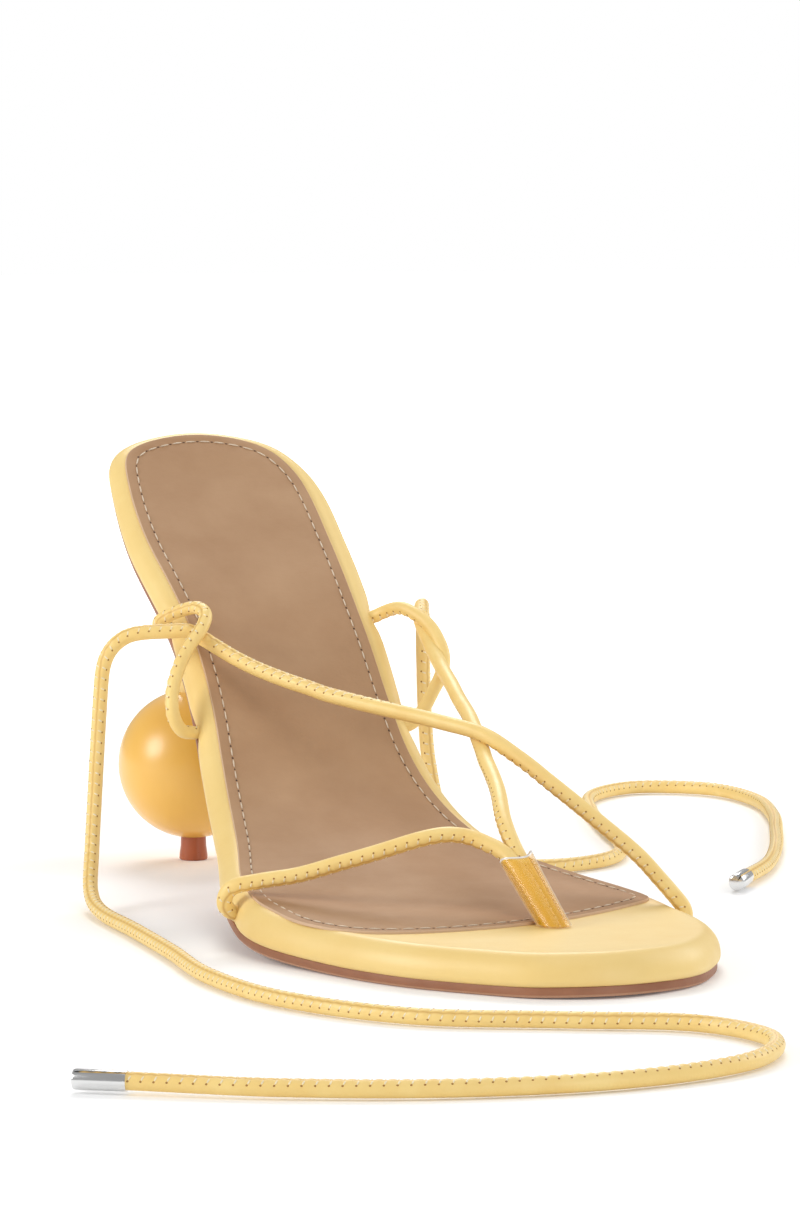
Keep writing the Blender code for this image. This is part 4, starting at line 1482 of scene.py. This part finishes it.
@dataclass
class Sock:
    """Tan sock on the footbed: its border follows the footbed and its front edge runs behind the toes."""

    last: Last
    thickness: float = 0.75
    inset: float = 3.4
    extra_inset: tuple[PlanRow, ...] = rows(
        PlanRow, (0.0, 0.0, 0.6), (8.0, -0.6, 1.0), (25.0, -0.6, 1.7), (50.0, 0.0, 1.6), (70.0, 0.0, 1.3),
        (95.0, 0.0, 0.7), (130.0, 0.0, 0.8), (165.0, 0.0, 0.8), (182.0, 0.0, 0.0),
    )
    full_inset_across: float = 10.0
    front: tuple[tuple[float, float], ...] = (
        (-36.6, 172.0), (-34.4, 188.0), (-26.0, 200.0), (-9.0, 203.5), (11.0, 199.5), (26.0, 193.0), (39.8, 184.8),
    )
    front_gap: float = 1.0
    outline_step: float = 1.3
    corner_eases: int = 4
    slice_step: float = 2.4
    rim_round: float = 0.22
    rim_steps: int = 2
    top_from: float = 0.99
    fine_width: float = 1.9
    fine_cuts: int = 3
    edge_below: float = 0.95
    edge_shade: float = 0.8
    groove: float = 0.22
    groove_width: float = 0.9
    skive: float = 0.2
    skive_width: float = 0.9
    stitch_inset: float = 2.4
    stitch_pitch: float = 3.3
    stitch_share: float = 0.74
    thread_lift: float = 0.12
    thread_half: tuple[float, float] = (0.18, 0.16)
    hole_lift: float = 0.05
    hole_reach: float = 0.3
    hole_half: tuple[float, float] = (0.22, 0.07)

    def outline(self) -> np.ndarray:
        """Closed outline as (across, along).

        Returns:
            The outline's points, up the lateral side and down the medial.
        """
        border = inset_outline(self.last.outline(), self.inset)
        extra_lateral, extra_medial = (column(self.extra_inset, side.value, border[:, 1]) for side in Side)
        reach = np.clip(border[:, 0] / self.full_inset_across, -1.0, 1.0)
        border[:, 0] -= reach * np.where(reach > 0, extra_medial, extra_lateral)
        front = smooth_curve(self.front)
        half, middle = len(border) // 2, len(front) // 2
        halves = []
        for run, edge in (
            (border[:half + 1], front[:middle + 1]),
            (np.vstack([border[:1], border[:half - 1:-1]]), front[:middle - 1:-1]),
        ):
            halves.append(np.vstack([run[run[:, 1] < edge[0][1] - self.front_gap], edge]))
        ring = closed_line(np.vstack([halves[0], halves[1][-2:0:-1]]), self.outline_step)[:-1]
        for _ in range(self.corner_eases):
            ring = (np.roll(ring, 1, axis=0) + 2 * ring + np.roll(ring, -1, axis=0)) / 4
        return ring

    def stitch_line(self, step: float) -> np.ndarray:
        """Closed line of the border's stitches as (across, along), with points one step apart."""
        return closed_line(inset_outline(self.outline(), self.stitch_inset), step)

    def build_leather(self) -> None:
        """Cut and bend the sock, with its border pulled in along the stitches and thinned at its edge."""
        plate = BentPlate(self.last, self.outline(), self.thickness, self.slice_step, self.slice_step)
        work = plate.cut()
        plate.round_rim(work, self.thickness, self.rim_round, self.rim_steps)
        plate.slice(work)
        line = self.stitch_line(DENSE_STEP)
        near = {vert for vert, off in zip(work.verts, plate.distance_to(work, line))
                if vert.co.z > self.top_from * self.thickness and off < self.fine_width}
        fine = [edge for edge in work.edges if near.issuperset(edge.verts)]
        bmesh.ops.subdivide_edges(work, edges=fine, cuts=self.fine_cuts, use_grid_fill=True)
        below = np.array([vert.co.z for vert in work.verts]) < self.edge_below * self.thickness
        mark_edges_and_shade(work, np.where(below, self.edge_shade, 0.0))
        border = closed_line(plate.outline, DENSE_STEP)
        sunk = self.groove * bell(plate.distance_to(work, line), self.groove_width)
        thin = self.skive * np.exp(-plate.distance_to(work, border) / self.skive_width)
        plate.bend(work, lambda along, share: (self.thickness - sunk - thin) * share)
        add_piece("sock_leather", work, SOCK_LEATHER, "insole_sock")

    def build_stitches(self) -> None:
        """Sew the border: a thread for each stitch and, between, a dark bead of painted shade for a needle hole."""
        line = self.stitch_line(self.stitch_pitch)
        top = self.thickness - self.groove
        threads, holes = [], []
        for here, there in zip(line, line[1:]):
            gone = (there - here) * (1.0 - self.stitch_share) / 2
            level = top + self.thread_lift
            start, end, spot = self.last.place(np.array([
                [*(here + gone), level], [*(there - gone), level], [*here, top + self.hole_lift],
            ]))
            up = self.last.up(here[1])
            half = (end - start) / np.linalg.norm(end - start) * self.hole_reach
            threads.append(laid(start, end, up, *self.thread_half))
            holes.append(laid(spot - half, spot + half, up, *self.hole_half))
        beads("sock_threads", threads, CREAM_THREAD)
        beads("sock_needle_hole_shade", holes, SOCK_HOLE_PAINTED_SHADE)

    def build(self) -> None:
        """Build the sock and sew its border."""
        self.build_leather()
        self.build_stitches()


@dataclass
class ToeSleeve:
    """Clear sleeve round the two cords of the toe post, with a scooped rim that flares on its lateral side."""

    last: Last
    foot: RouteRow = RouteRow(10.95, 204.0, 0.0)
    top: RouteRow = RouteRow(8.3, 191.2, 12.0)
    half_width: float = 2.8
    half_depth: float = 2.5
    flare: float = 0.3
    lean: float = 0.3
    dip: float = 2.2
    wall: float = 0.28
    sides: int = 48
    stations: tuple[float, ...] = (0.02, 0.15, 0.3, 0.45, 0.6, 0.75, 0.9, 0.972, 0.982, 1.0)
    rim_from: float = 0.98
    # the cut rim takes the film's pale edge colour: partly its own edge, partly painted sheen
    rim_edge_sheen: float = 0.9

    def build(self) -> None:
        """Draw an oval ring up into a tube and give it its wall."""
        foot, top = Vector(self.foot), Vector(self.top)
        axis = (top - foot).normalized()
        wide = (Vector((1.0, 0.0, 0.0)) - axis * axis.x).normalized()
        deep = axis.cross(wide)
        work = bmesh.new()
        ring = bmesh.ops.create_circle(work, segments=self.sides, radius=1.0)["verts"]
        low, high = [], []
        for vert in ring:
            place = foot + wide * (vert.co.x * self.half_width) + deep * (vert.co.y * self.half_depth)
            vert.co = place + axis * ((GAP - place.z) / axis.z)
            side, front = (vert.co - foot).dot(wide), (vert.co - foot).dot(deep)
            rise = self.lean * side / self.half_width - self.dip * max(0.0, front / self.half_depth) ** 2
            wider = 1.0 + (self.flare if side < 0 else 0.0)
            low.append(vert.co.copy())
            high.append(top + wide * side * wider + deep * front + axis * rise)
        edges = work.edges[:]
        shade = work.verts.layers.float.new(EDGE_AND_SHADE_MASK)
        for share in self.stations:
            ring, edges = drawn_out(work, edges)
            for vert, start, end in zip(ring, low, high):
                vert.co = start.lerp(end, share)
                vert[shade] = self.rim_edge_sheen if share > self.rim_from else 0.0
        move_points(work, lambda points: self.last.place(points) * MM)
        bmesh.ops.recalc_face_normals(work, faces=work.faces)
        bmesh.ops.solidify(work, geom=work.faces[:], thickness=self.wall * MM)
        add_piece("toe_sleeve_clear", work, CLEAR_FILM, "toe_post_sleeve", sharp=50.0)


@dataclass
class BallHeel:
    """Glossy ball heel with its foot below, and the seat and neck that carry it."""

    last: Last
    radius: float = 16.6
    across: float = -1.5
    set_in: float = 5.54
    ball_sides: int = 96
    ball_rings: int = 64
    tip_rise: float = 4.9
    tip_foot_radius: float = 3.15
    tip_top_radius: float = 2.8
    tip_round: float = 0.25
    tip_taper: float = 0.02
    tip_band: float = 1.1
    tip_waist: float = 0.05
    tip_waist_share: float = 0.62
    tip_steps: int = 48
    neck_radius: float = 3.9
    neck_lap: float = 0.2
    neck_sides: int = 64
    neck_steps: int = 6
    seat_along: float = 25.0
    neck: tuple[NeckRow, ...] = rows(
        NeckRow, (0.0, 3.9, 3.9), (0.22, 4.0, 4.3), (0.45, 5.2, 6.2), (0.68, 8.0, 10.0), (0.87, 12.0, 14.6),
        (1.0, 16.0, 18.0),
    )

    def centre(self) -> Vector:
        """Centre of the ball in millimetres."""
        y = self.last.heel_back_y - self.set_in
        return Vector((self.last.axis_x + self.across, y, self.tip_rise + self.radius))

    def flat_reach(self, radius: float) -> float:
        """Distance from the ball's centre to a flat of the given radius."""
        return math.sqrt(self.radius**2 - radius**2)

    def build_ball(self) -> None:
        """Turn the ball, with a flat for the neck and one for the tip."""
        work = bmesh.new()
        bmesh.ops.create_uvsphere(work, u_segments=self.ball_sides, v_segments=self.ball_rings, radius=self.radius)
        for direction, radius in ((1.0, self.neck_radius), (-1.0, self.tip_top_radius)):
            normal = Vector((0.0, 0.0, direction))
            cut = bmesh.ops.bisect_plane(work, geom=[*work.verts, *work.edges, *work.faces], clear_outer=True,
                                         plane_co=normal * self.flat_reach(radius), plane_no=normal)
            bmesh.ops.edgeloop_fill(work, edges=picked(cut["geom_cut"], BMEdge))
        settle(work, self.centre())
        add_piece("ball_gloss", work, AMBER_LACQUER, "heel_ball")

    def build_tip(self) -> None:
        """Spin the small flared foot under the ball."""
        centre = self.centre()
        height = centre.z - self.flat_reach(self.tip_top_radius)
        foot, top, corner = self.tip_foot_radius, self.tip_top_radius, self.tip_round
        section = (
            (AXIS_RADIUS, 0.0), (foot - corner, 0.0), (foot, corner), (foot - self.tip_taper, self.tip_band),
            (top + self.tip_waist, height * self.tip_waist_share), (top, height),
        )
        work = spun(section, self.tip_steps)
        bmesh.ops.remove_doubles(work, verts=work.verts, dist=1e-4)
        fill_ends(work)
        settle(work, (centre.x, centre.y, 0.0))
        add_piece("tip_plastic", work, BROWN_PLASTIC, "heel_tip")

    def build_seat(self) -> None:
        """Draw the neck's ring up from the ball into the seat under the outsole."""
        low = self.centre() + Vector((0.0, 0.0, self.flat_reach(self.neck_radius) - self.neck_lap))
        boards = sum(float(column(self.last.boards, name, self.seat_along)) for name in ("board", "outsole"))
        under = -boards - GAP
        high = Vector(self.last.place(np.array([[0.0, self.seat_along, under]]))[0])
        slope = float(self.last.slope(self.seat_along))
        work = bmesh.new()
        ring = bmesh.ops.create_circle(work, segments=self.neck_sides, radius=1.0)["verts"]
        turns = [vert.co.copy() for vert in ring]
        edges = work.edges[:]
        for step, (rise, half_width, half_length) in enumerate(smooth_curve(self.neck, self.neck_steps)):
            if step:
                ring, edges = drawn_out(work, edges)
            back = Vector((0.0, 1.0, 0.0)).lerp(Vector((0.0, math.cos(slope), math.sin(slope))), rise)
            middle = low.lerp(high, rise)
            for vert, turn in zip(ring, turns):
                vert.co = middle + Vector((turn.x * half_width, 0.0, 0.0)) + back * (turn.y * half_length)
        seat = self.neck[-1]
        rim = [(turn.x * seat.half_width, self.seat_along - turn.y * seat.half_length, under) for turn in turns]
        for vert, place in zip(ring, self.last.place(np.array(rim))):
            vert.co = place
        fill_ends(work)
        settle(work, (0.0, 0.0, 0.0))
        add_piece("seat_leather", work, WRAP_LEATHER, "heel_seat_block")

    def build(self) -> None:
        """Build the ball, its foot and its seat."""
        self.build_ball()
        self.build_tip()
        self.build_seat()


def main() -> None:
    """Build the studio and the shoe's sub-assemblies in order."""
    logging.basicConfig(level=logging.INFO, format="%(name)s %(message)s")
    last = Last()
    Studio().build()
    for tie in (TIE_LATERAL, TIE_MEDIAL):
        tie.build(last)
    for assembly in (Sole(last), Sock(last), Upper(last), ToeSleeve(last), BallHeel(last)):
        assembly.build()


if __name__ == "__main__":
    main()
